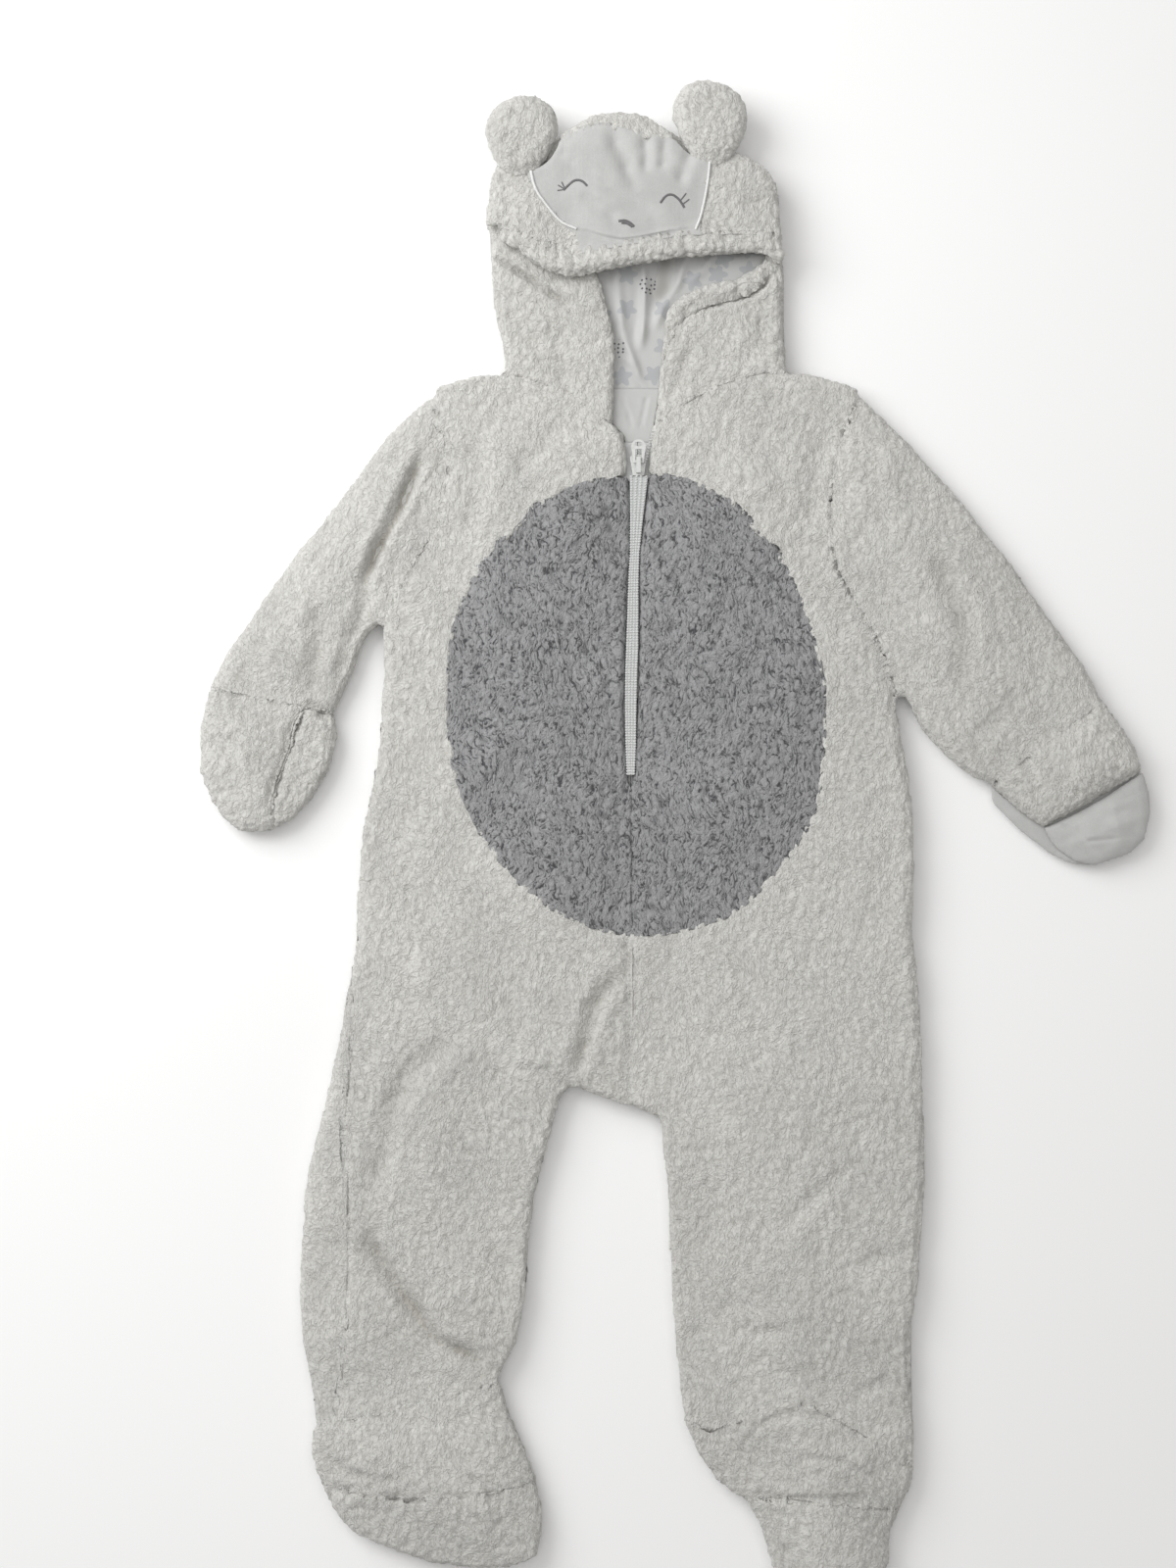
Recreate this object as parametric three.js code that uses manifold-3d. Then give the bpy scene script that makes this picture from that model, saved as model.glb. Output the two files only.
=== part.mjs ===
// A baby's snowsuit of thick pile fleece, laid flat on its back: hood with ears and a smooth face, grey belly in
// two halves, zip, one mitt folded closed and one turned open, closed feet.
// Units are millimetres. +X is the wearer's left, +Y points to the head, +Z is up, and z = 0 is the surface it
// rests on. The origin is the middle of the underside's bounding box.
// "Right" and "left" in names are the wearer's.

import * as THREE from "three";
import { mergeVertices } from "three/addons/utils/BufferGeometryUtils.js";
import Module from "manifold-3d";

const wasm = await Module();
wasm.setup();

// Driving sizes
const CLOTH = 7;
const GAP = 0.3;
const CENTRE_X = -25;
const ROUND = 7;
const SEAM_ROUND = 2.5;
const FRONT_Z = CLOTH + GAP;
const TOP_Z = FRONT_Z + CLOTH;
const HOOD_CLOTH = 6;
const LINING = 1.5;
const LINING_Z = HOOD_CLOTH + GAP;
const SIDE_Z = LINING_Z + LINING + GAP;
const SIDE_TOP_Z = TOP_Z + 0.2;
const CROWN_Z = SIDE_TOP_Z + GAP;
const CROWN_CLOTH = 6.5;
const SIDE_DROP = 3;
const TAPE = 0.9;
const CHAIN = 2.3;
const CHAIN_EDGE = 0.8;
const CHAIN_EDGE_SHARE = 0.55;
const FACING = 1.3;
const HAND_CLOTH = 4;
const CUFF_CLOTH = 8.5;
const TAPE_HIDDEN = 6.2;
const ZIP_TOP_Y = 226;
const ZIP_FOOT_Y = -50;
const CHAIN_FOOT_Y = 42;
const CROWN_SEAM_X = -33;
const SLIDER = { x: -21.2, lowY: 207.2, highY: 218.6, lowHalf: 3.1, highHalf: 4.7, thick: 3.9, corner: 1.4 };
const BRIDGE = { half: 1.2, lowY: 208.5, highY: 217.1, post: 1.2, top: 3.9, bar: 1 };
const PIN = { y: 214.7, rise: 1.6 };
const TAB = {
  half: 4, slotHalf: 1.7, thick: 1.2, backY: 0.7, slotLow: 0.75, slotHigh: 6.8, length: 12.2, waist: 4,
  eyeY: 9.6, eyeHalfWidth: 2.1, eyeHalfHeight: 1.25,
};
const ARMHOLE_SPARE = 4;
const BACK_NECK = { y: 246, bow: 12 };
const SLEEVE_HOLLOW = { margin: 9, past: 3, share: 0.9 };
const ROLLED_SIDE = { inset: 1.5, width: 3, overlap: 1.5, highY: -100, lowY: -300 };
const FLAT_SHARE = 0.95;
const CHAIN_Z = FRONT_Z + TAPE + GAP;
const SLIDER_TOP_Z = CHAIN_Z + SLIDER.thick;
const CHAIN_TOP_Y = SLIDER.lowY - GAP - 0.2;
const ABOVE_ALL = 60;
const BELOW_ALL = -5;
const FAR = 400;

// Distances of the extra rows of points beside a rounded edge, a seam and the zip's edge
const ROUND_RIM = [0, 1.8, 5.5];
const SEAM_RIM = [0, 2.5];
const ZIP_RIM = [0, 2.2, 7.6, 9.4];

// Sections across the right half of the body, leg and foot, from shoulder to sole: a is the outer end, b the end
// at the zip, centre seam or inner leg. bow is how far the middle stands towards the head, round is the radius of
// the outer edge, centre marks the sections that end at the centre, corner names an end where the edge turns.
const RIGHT_HALF = [
  { ax: -133, ay: 253.5, bx: -29, by: 229.5, bow: 20, round: 2.5, centre: true },
  { ax: -127, ay: 218, bx: -27.2, by: 216, bow: 6, round: 2.5, centre: true },
  { ax: -124, ay: 200, bx: -25.4, by: 198, bow: 2, round: 2.5, centre: true },
  { ax: -134, ay: 176, bx: -24.8, by: 168, bow: 0, round: 2.5, centre: true },
  { ax: -149, ay: 151, bx: -27, by: 149, bow: 0, round: 2.5, centre: true },
  { ax: -161, ay: 127, bx: -28, by: 124, bow: 0, round: 3, centre: true, corner: "a" },
  { ax: -162, ay: 103, bx: -28.8, by: 98, bow: 0, round: 7, centre: true },
  { ax: -163, ay: 75, bx: -29, by: 76, bow: 0, round: 7, centre: true },
  { ax: -166, ay: 48, bx: -27.6, by: 54, bow: 0, round: 7, centre: true },
  { ax: -173, ay: 15, bx: -25.3, by: 30, bow: 0, round: 7, centre: true },
  { ax: -176, ay: -20, bx: -25.2, by: -14, bow: 0, round: 7, centre: true },
  { ax: -176.5, ay: -48, bx: -25.2, by: -52, bow: 0, round: 7, centre: true },
  { ax: -180, ay: -66, bx: -25.2, by: -95, bow: 3, round: 7, centre: true },
  { ax: -184, ay: -84, bx: -25.2, by: -140.5, bow: 8, round: 7, corner: "b" },
  { ax: -186, ay: -101, bx: -45, by: -133.5, bow: 7, round: 7 },
  { ax: -189, ay: -116, bx: -58, by: -129, bow: 2, round: 7, corner: "b" },
  { ax: -193, ay: -135, bx: -64, by: -136, bow: 0, round: 7 },
  { ax: -200, ay: -160, bx: -71, by: -160, bow: 0, round: 7 },
  { ax: -205.5, ay: -190, bx: -78, by: -190, bow: 0, round: 7 },
  { ax: -207, ay: -215, bx: -81.5, by: -215, bow: 0, round: 7 },
  { ax: -208, ay: -243, bx: -83.5, by: -243, bow: 0, round: 7 },
  { ax: -207.5, ay: -268, bx: -88, by: -268, bow: 0, round: 7 },
  { ax: -203, ay: -290, bx: -98, by: -290, bow: 0, round: 7, corner: "b" },
  { ax: -199.5, ay: -312, bx: -92, by: -310, bow: 0, round: 7 },
  { ax: -202, ay: -331, bx: -84, by: -328, bow: 0, round: 7 },
  { ax: -197, ay: -347, bx: -78, by: -345, bow: 0, round: 7 },
  { ax: -189.5, ay: -362, bx: -74.5, by: -361, bow: 0, round: 7 },
  { ax: -179, ay: -375.5, bx: -74, by: -375, bow: 0, round: 7 },
  { ax: -158, ay: -384, bx: -77, by: -387, bow: 0, round: 7 },
  { ax: -137, ay: -391.5, bx: -92, by: -394, bow: -2, round: 7 },
];

// The same for the left half, whose foot points down
const LEFT_HALF = [
  { ax: 99, ay: 253, bx: -13.8, by: 234, bow: 20, round: 2.5, centre: true },
  { ax: 86, ay: 218, bx: -15.8, by: 216, bow: 5, round: 2.5, centre: true },
  { ax: 82, ay: 186, bx: -17.2, by: 190, bow: 0, round: 2.5, centre: true },
  { ax: 86, ay: 156, bx: -21.8, by: 166, bow: 0, round: 2.5, centre: true },
  { ax: 101, ay: 129.5, bx: -20.7, by: 134, bow: 0, round: 3, centre: true, corner: "a" },
  { ax: 113, ay: 106, bx: -21.4, by: 100, bow: 0, round: 7, centre: true },
  { ax: 121, ay: 85, bx: -22.4, by: 76, bow: 0, round: 7, centre: true },
  { ax: 125, ay: 60, bx: -23.6, by: 54, bow: 0, round: 7, centre: true },
  { ax: 130, ay: 30, bx: -24.8, by: 30, bow: 0, round: 7, centre: true },
  { ax: 131.5, ay: -5, bx: -24.8, by: -10, bow: 0, round: 7, centre: true },
  { ax: 131, ay: -45, bx: -24.8, by: -50, bow: 0, round: 7, centre: true },
  { ax: 134, ay: -78, bx: -24.8, by: -90, bow: 2, round: 7, centre: true },
  { ax: 136, ay: -108, bx: -24.8, by: -139, bow: 4, round: 7, corner: "b" },
  { ax: 136, ay: -126, bx: -9, by: -147, bow: 2, round: 7, corner: "b" },
  { ax: 137, ay: -150, bx: -7.5, by: -166, bow: 0, round: 7 },
  { ax: 138, ay: -178, bx: -5, by: -184, bow: 0, round: 7 },
  { ax: 135.5, ay: -208, bx: -4, by: -210, bow: 0, round: 7 },
  { ax: 133, ay: -238, bx: -3, by: -238, bow: 0, round: 7 },
  { ax: 130, ay: -266, bx: -1, by: -266, bow: 0, round: 7 },
  { ax: 130.5, ay: -292, bx: 1, by: -291, bow: 0, round: 7 },
  { ax: 131.5, ay: -315, bx: 4.5, by: -314, bow: 0, round: 7 },
  { ax: 131, ay: -333, bx: 12.5, by: -333, bow: 0, round: 7 },
  { ax: 130, ay: -347, bx: 23.5, by: -348, bow: 0, round: 7 },
  { ax: 124, ay: -361.5, bx: 38.5, by: -357, bow: 0, round: 7 },
  { ax: 118.5, ay: -374, bx: 46, by: -371, bow: 0, round: 7 },
  { ax: 117, ay: -392, bx: 51.5, by: -389, bow: 0, round: 7 },
  { ax: 113, ay: -407, bx: 57, by: -405, bow: 0, round: 7 },
  { ax: 106, ay: -416, bx: 65, by: -415, bow: -1, round: 7 },
  { ax: 96, ay: -422.6, bx: 76, by: -422.6, bow: -0.8, round: 7 },
];

// Sleeves, from inside the body to the wrist: a is the outer arm, b the underarm
const RIGHT_SLEEVE = [
  { ax: -118, ay: 258, bx: -142, by: 122 },
  { ax: -136, ay: 251, bx: -163, by: 126.5 },
  { ax: -160, ay: 229, bx: -168, by: 123.5 },
  { ax: -185, ay: 195, bx: -172.5, by: 117 },
  { ax: -207, ay: 168, bx: -175.5, by: 110 },
  { ax: -229, ay: 138, bx: -178, by: 99 },
  { ax: -247, ay: 112, bx: -183, by: 88 },
  { ax: -258, ay: 90.5, bx: -188.5, by: 76.5 },
];
const LEFT_SLEEVE = [
  { ax: 84, ay: 258, bx: 86, by: 126 },
  { ax: 101, ay: 251, bx: 103, by: 129 },
  { ax: 115, ay: 238, bx: 110, by: 118.5 },
  { ax: 129, ay: 224, bx: 114.5, by: 107 },
  { ax: 155, ay: 195, bx: 123.5, by: 90 },
  { ax: 180, ay: 165, bx: 135.5, by: 67 },
  { ax: 202, ay: 135, bx: 150, by: 50.5 },
  { ax: 223, ay: 105, bx: 163.5, by: 40.5 },
  { ax: 234.5, ay: 84, bx: 173, by: 37 },
];

// Mitts and the turned-back cuff, from the wrist outwards
const RIGHT_MITT = [
  { ax: -258.4, ay: 89.9, bx: -188.8, by: 75.9 },
  { ax: -263, ay: 68, bx: -186.8, by: 64 },
  { ax: -262.5, ay: 45, bx: -191.5, by: 45 },
  { ax: -257, ay: 28, bx: -201, by: 29 },
  { ax: -249, ay: 17.5, bx: -212, by: 17.5 },
  { ax: -241, ay: 11, bx: -224, by: 11.5 },
];
const LEFT_CUFF = [
  { ax: 234.9, ay: 83.4, bx: 173.4, by: 36.4 },
  { ax: 245, ay: 70, bx: 180, by: 30 },
  { ax: 252, ay: 59, bx: 190, by: 21.5 },
  { ax: 257, ay: 45.5, bx: 201.5, by: 13.5, bow: -2 },
];
const LEFT_HAND = [
  { ax: 257.6, ay: 44.6, bx: 202, by: 12.9, bow: -2 },
  { ax: 261, ay: 33, bx: 204.5, by: 8 },
  { ax: 262, ay: 22, bx: 209, by: 1.5 },
  { ax: 259, ay: 8, bx: 219, by: -5 },
  { ax: 250, ay: -1.5, bx: 231, by: -8 },
];
const LEFT_PALM = [
  { ax: 234.9, ay: 83.4, bx: 173.4, by: 36.4 },
  { ax: 246, ay: 68, bx: 174.5, by: 27 },
  { ax: 254, ay: 52, bx: 190, by: 11.5 },
  { ax: 259, ay: 34, bx: 206, by: -1 },
  { ax: 259, ay: 18, bx: 216, by: -6 },
  { ax: 250, ay: 5, bx: 230, by: -8 },
];

// Hood: back, the two sides that come round to the front, and the crown that droops over them
const HOOD_BACK = [
  { ax: -84, ay: 252, bx: 50, by: 252, bow: -10 },
  { ax: -94.5, ay: 264, bx: 60.5, by: 265, bow: -4 },
  { ax: -97, ay: 285, bx: 60, by: 285, bow: 0 },
  { ax: -101, ay: 305, bx: 59.5, by: 305, bow: 0 },
  { ax: -103, ay: 328, bx: 58, by: 328, bow: 0 },
  { ax: -106, ay: 347, bx: 57, by: 349, bow: 0 },
  { ax: -102.5, ay: 366, bx: 54, by: 368, bow: 3 },
  { ax: -99, ay: 380, bx: 38, by: 381, bow: 7 },
  { ax: -64, ay: 393, bx: 2, by: 390, bow: 6 },
  { ax: -48, ay: 402, bx: -18, by: 402, bow: 2 },
];
const HOOD_SIDE_RIGHT = [
  { ax: -97, ay: 248, bx: -35.5, by: 226 },
  { ax: -94.5, ay: 264, bx: -35.3, by: 250 },
  { ax: -95, ay: 274, bx: -34.5, by: 268 },
  { ax: -97.5, ay: 286, bx: -34.2, by: 282 },
  { ax: -100.5, ay: 297, bx: -36, by: 292 },
  { ax: -101.5, ay: 308, bx: -39, by: 304 },
  { ax: -102.3, ay: 320, bx: -43.5, by: 318 },
  { ax: -103, ay: 334, bx: -47, by: 334 },
  { ax: -104, ay: 350, bx: -51, by: 350 },
  { ax: -102.5, ay: 366, bx: -58, by: 361 },
  { ax: -99, ay: 379, bx: -63, by: 368 },
  { ax: -84, ay: 387, bx: -61, by: 374 },
  { ax: -66, ay: 393.5, bx: -54, by: 381 },
  { ax: -50, ay: 402, bx: -44, by: 387 },
  { ax: -33.3, ay: 405, bx: -33.3, by: 390 },
];
const HOOD_SIDE_LEFT = [
  { ax: 61, ay: 250, bx: -12.8, by: 230 },
  { ax: 60.5, ay: 266, bx: -10, by: 252 },
  { ax: 60.5, ay: 276, bx: -9.5, by: 266 },
  { ax: 60, ay: 284, bx: -6, by: 275 },
  { ax: 59.5, ay: 291, bx: -1, by: 284 },
  { ax: 59.5, ay: 297, bx: 3, by: 292 },
  { ax: 59.5, ay: 302, bx: 10, by: 297.5 },
  { ax: 59.5, ay: 307, bx: 20, by: 301.5 },
  { ax: 59.5, ay: 312, bx: 38, by: 305.5 },
  { ax: 59.5, ay: 318, bx: 49, by: 313 },
  { ax: 58.5, ay: 328, bx: 49.5, by: 325 },
  { ax: 57.5, ay: 340, bx: 44, by: 339 },
  { ax: 56.5, ay: 354, bx: 38, by: 352 },
  { ax: 54, ay: 368, bx: 34, by: 361 },
  { ax: 47, ay: 377.5, bx: 30, by: 367 },
  { ax: 36, ay: 384.5, bx: 24, by: 371 },
  { ax: 20, ay: 390, bx: 12, by: 376 },
  { ax: 2, ay: 394, bx: -4, by: 381 },
  { ax: -16, ay: 402, bx: -19, by: 388 },
  { ax: -32.7, ay: 405, bx: -32.7, by: 390 },
];
const CROWN = [
  { ax: -50, ay: 403, bx: -17, by: 404, bow: 3 },
  { ax: -66, ay: 393, bx: 2, by: 392, bow: 5 },
  { ax: -97, ay: 381, bx: 36, by: 383, bow: 6 },
  { ax: -102.5, ay: 370, bx: 49, by: 376, bow: 4 },
  { ax: -104, ay: 357, bx: 55.5, by: 366, bow: 2 },
  { ax: -106, ay: 346, bx: 57, by: 350, bow: 0 },
  { ax: -103.5, ay: 336, bx: 58, by: 337, bow: 0 },
  { ax: -99, ay: 322, bx: 56, by: 322, bow: 0 },
];

// Rolled edges: centre line and radius
const BRIM = [
  { x: -98, y: 339, radius: 4.4 },
  { x: -84, y: 334, radius: 5.4 },
  { x: -73, y: 326.5, radius: 6.2 },
  { x: -60, y: 321.5, radius: 6.4 },
  { x: -43, y: 324, radius: 6 },
  { x: -20, y: 328.2, radius: 6 },
  { x: 4, y: 332, radius: 6 },
  { x: 27, y: 333, radius: 5.8 },
  { x: 46, y: 333.5, radius: 5.2 },
  { x: 54, y: 329.5, radius: 4.4 },
  { x: 55.5, y: 322.5, radius: 3.4 },
];
const TURNED_EDGE = [
  { x: -12.5, y: 276, radius: 2.6 },
  { x: -8.8, y: 284.5, radius: 4 },
  { x: -4, y: 293.4, radius: 4.7 },
  { x: 3, y: 300.2, radius: 5 },
  { x: 14, y: 305.9, radius: 5 },
  { x: 26, y: 309, radius: 5 },
  { x: 36, y: 312.2, radius: 4.6 },
  { x: 43, y: 317, radius: 3.4 },
];

// Ears: centre, half width and half height
const EAR = { base: CROWN_Z, height: 11.5 };
const EAR_RIGHT = { x: -84.5, y: 394.5, halfWidth: 20.5, halfHeight: 21.5 };
const EAR_LEFT = { x: 17.4, y: 401.5, halfWidth: 21, halfHeight: 22.2 };

// Closed outlines of the belly and the face, smooth through their points
const BELLY = [
  [-25, 207], [-49, 203.5], [-70, 194], [-103, 162], [-119, 135], [-126, 102], [-123, 48], [-108, 11], [-70, -30],
  [-25, -46], [27, -35], [54, -11], [75, 21], [81, 70], [80, 97], [65, 146], [38, 183], [5, 205],
];
const FACE = [
  [-81.5, 374.3], [-66.8, 388.4], [-54, 394.3], [-37.5, 396.6], [-16.5, 391.6], [-1.2, 390.4], [18.1, 383.5],
  [17.8, 375], [16.4, 366], [13.4, 350], [10, 336], [8, 318], [-50, 312], [-54, 336], [-63.3, 345],
  [-70.3, 352], [-77.4, 362.6],
];

// Straight-sided outlines of the hood's lining and the neck facing
const HOOD_LINING = [[-40, 254.8], [-58, 262], [-60, 335], [52, 335], [54, 300], [50, 268], [-5, 254.8]];
const NECK_FACING = [
  [-34.4, 254.2], [-34.4, 237.5], [-28.4, 231], [-27.6, 227], [-15.7, 227], [-13.7, 238], [-11, 254.2],
];

// Lines that part one piece from the next
const ANKLE_RIGHT = [[-230, -318], [-187, -313], [-140, -302], [-99, -291], [-60, -284]];
const SOLE_RIGHT = [[-230, -338], [-196, -345], [-175, -351], [-148, -354], [-110, -352], [-60, -342]];
const SIDE_SEAM_RIGHT = [[-196, -40], [-180, -70], [-178, -98], [-182, -141], [-181, -205], [-183, -276], [-189, -330]];
const INSTEP_LEFT = [[-30, -300], [6, -311], [20, -317], [35, -311], [55, -302], [76, -306], [97, -316], [115, -330],
  [131, -338], [160, -342]];
const VAMP_LEFT = [[0, -352], [41, -355], [62, -355.5], [115, -361], [150, -366]];
const MITT_FLAP_RIGHT = [[-203, 95], [-206, 79], [-211, 69], [-213, 58], [-220, 39], [-223, 25], [-225, 0]];

// Broad folds that lift the front layer: a bowed line from 0 through 1 to 2, how wide and how high
const FOLDS = [
  { x0: -34, y0: -60, x1: -54, y1: -88, x2: -66, y2: -122, width: 9, height: 4.5 },
  { x0: -120, y0: -112, x1: -150, y1: -180, x2: -112, y2: -272, width: 17, height: 4 },
  { x0: -178, y0: -120, x1: -190, y1: -200, x2: -172, y2: -280, width: 10, height: 2.5 },
  { x0: -75, y0: 165, x1: -84, y1: 80, x2: -70, y2: 5, width: 36, height: 3 },
  { x0: 20, y0: 165, x1: 38, y1: 80, x2: 20, y2: 0, width: 36, height: 3 },
  { x0: 60, y0: -130, x1: 66, y1: -200, x2: 66, y2: -280, width: 34, height: 3.2 },
  { x0: -130, y0: 205, x1: -100, y1: 190, x2: -92, y2: 235, width: 12, height: 2 },
  { x0: 40, y0: 215, x1: 60, y1: 195, x2: 74, y2: 170, width: 14, height: 2 },
  { x0: -170, y0: -335, x1: -130, y1: -345, x2: -100, y2: -355, width: 26, height: 7 },
  { x0: 82, y0: -345, x1: 83, y1: -370, x2: 84, y2: -400, width: 24, height: 7 },
  { x0: 40, y0: -320, x1: 70, y1: -312, x2: 105, y2: -332, width: 11, height: 3 },
  { x0: -88, y0: -60, x1: -110, y1: -80, x2: -150, y2: -80, width: 22, height: 2.5 },
];
const SLEEVE_FOLDS = [
  { x0: -152, y0: 215, x1: -176, y1: 172, x2: -204, y2: 128, width: 15, height: 4.5 },
  { x0: -222, y0: 120, x1: -232, y1: 98, x2: -238, y2: 80, width: 12, height: 2 },
  { x0: 110, y0: 205, x1: 142, y1: 150, x2: 172, y2: 98, width: 22, height: 4.5 },
  { x0: 214, y0: 88, x1: 206, y1: 72, x2: 196, y2: 62, width: 9, height: 2 },
];
const MITT_FOLDS = [
  { x0: -240, y0: 78, x1: -240, y1: 52, x2: -236, y2: 34, width: 14, height: 3 },
  { x0: 214, y0: 60, x1: 222, y1: 45, x2: 230, y2: 34, width: 18, height: 3.5 },
  { x0: 230, y0: 26, x1: 236, y1: 14, x2: 240, y2: 6, width: 16, height: 3 },
];
const CROWN_FOLDS = [
  { x0: -86, y0: 356, x1: -84, y1: 348, x2: -80, y2: 342, width: 14, height: 3 },
  { x0: 36, y0: 364, x1: 38, y1: 352, x2: 36, y2: 344, width: 13, height: 2.5 },
  { x0: -44, y0: 384, x1: -40, y1: 366, x2: -34, y2: 350, width: 17, height: 3 },
  { x0: 0, y0: 378, x1: -2, y1: 364, x2: -4, y2: 350, width: 12, height: 2 },
];

// Curves

// A smooth line through points that keeps its marked corners; at(t) takes 0 at the first point, 1 at the next...
function smoothLine(points, corners = []) {
  const breaks = [0, ...corners.filter((i) => i > 0 && i < points.length - 1), points.length - 1];
  const parts = breaks.slice(1).map((end, k) => {
    const vectors = points.slice(breaks[k], end + 1).map(([x, y]) => new THREE.Vector3(x, y, 0));
    const curve = new THREE.CatmullRomCurve3(vectors, false, "centripetal");
    return { start: breaks[k], end, curve };
  });
  return (t) => {
    const part = parts.find((p) => t <= p.end) ?? parts[parts.length - 1];
    const point = part.curve.getPoint((t - part.start) / (part.end - part.start));
    return [point.x, point.y];
  };
}

function sampled(points, perSpan = 3) {
  const line = smoothLine(points);
  const count = (points.length - 1) * perSpan;
  return Array.from({ length: count + 1 }, (_, i) => line(i / perSpan));
}

function closedOutline(points, perSpan = 3) {
  const vectors = points.map(([x, y]) => new THREE.Vector3(x, y, 0));
  const curve = new THREE.CatmullRomCurve3(vectors, true, "centripetal");
  const count = points.length * perSpan;
  return Array.from({ length: count }, (_, i) => {
    const point = curve.getPoint(i / count);
    return [point.x, point.y];
  });
}

// Moves a line sideways, to the left of its direction
function shifted(points, amount, closed = false) {
  const last = points.length - 1;
  return points.map(([x, y], i) => {
    const before = points[i > 0 ? i - 1 : closed ? last : 0];
    const after = points[i < last ? i + 1 : closed ? 0 : last];
    const dx = after[0] - before[0];
    const dy = after[1] - before[1];
    const length = Math.hypot(dx, dy);
    return [x - (dy / length) * amount, y + (dx / length) * amount];
  });
}

function turnsLeft(outline) {
  const area = outline.reduce((sum, [x, y], i) => {
    const [nx, ny] = outline[(i + 1) % outline.length];
    return sum + x * ny - nx * y;
  }, 0);
  return area > 0;
}

function grown(outline, amount) {
  return shifted(outline, turnsLeft(outline) ? -amount : amount, true);
}

// The nearest point of a line of points: how far off, and how far along as an index
function nearest(points, x, y) {
  let best = { distance: Infinity, along: 0 };
  for (let i = 0; i + 1 < points.length; i += 1) {
    const [px, py] = points[i];
    const dx = points[i + 1][0] - px;
    const dy = points[i + 1][1] - py;
    const t = Math.min(1, Math.max(0, ((x - px) * dx + (y - py) * dy) / (dx * dx + dy * dy || 1)));
    const distance = Math.hypot(x - px - dx * t, y - py - dy * t);
    if (distance < best.distance) best = { distance, along: i + t };
  }
  return best;
}

const mix = (from, to, t) => from + (to - from) * t;

function smoothStep(t) {
  const clamped = Math.min(1, Math.max(0, t));
  return clamped * clamped * (3 - 2 * clamped);
}

// Share of the cloth's height at a distance from an edge of this radius
function edgeShare(distance, radius) {
  const rim = 1 - radius / 8.2;
  const inward = Math.min(1, distance / radius);
  return rim + (1 - rim) * Math.sqrt(1 - (1 - inward) ** 2);
}

function lifter(folds) {
  const lines = folds.map((fold) => ({
    ...fold,
    points: sampled([[fold.x0, fold.y0], [fold.x1, fold.y1], [fold.x2, fold.y2]], 4),
  }));
  return (x, y) => lines.reduce((sum, fold) => {
    const { distance } = nearest(fold.points, x, y);
    return sum + fold.height * Math.exp(-((distance / fold.width) ** 2));
  }, 0);
}

// Solids

function toSolid(positions, triangles) {
  return new wasm.Manifold(new wasm.Mesh({
    numProp: 3,
    vertProperties: new Float32Array(positions.flat()),
    triVerts: new Uint32Array(triangles.flat()),
  }));
}

function geometrySolid(geometry) {
  geometry.deleteAttribute("normal");
  geometry.deleteAttribute("uv");
  const merged = mergeVertices(geometry, 1e-4);
  return new wasm.Manifold(new wasm.Mesh({
    numProp: 3,
    vertProperties: new Float32Array(merged.attributes.position.array),
    triVerts: new Uint32Array(merged.index.array),
  }));
}

function prism(outline, low = BELOW_ALL, high = ABOVE_ALL) {
  const shape = new THREE.Shape(outline.map(([x, y]) => new THREE.Vector2(x, y)));
  const geometry = new THREE.ExtrudeGeometry(shape, { depth: high - low, bevelEnabled: false });
  geometry.translate(0, 0, low);
  return geometrySolid(geometry);
}

// Everything on one side of a line that runs with increasing x: the side towards the feet, or towards the head
function towardsFeet(line, offset = 0) {
  const edge = shifted(sampled(line), offset);
  return prism([...edge, [edge[edge.length - 1][0], -FAR - 100], [edge[0][0], -FAR - 100]]);
}

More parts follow.
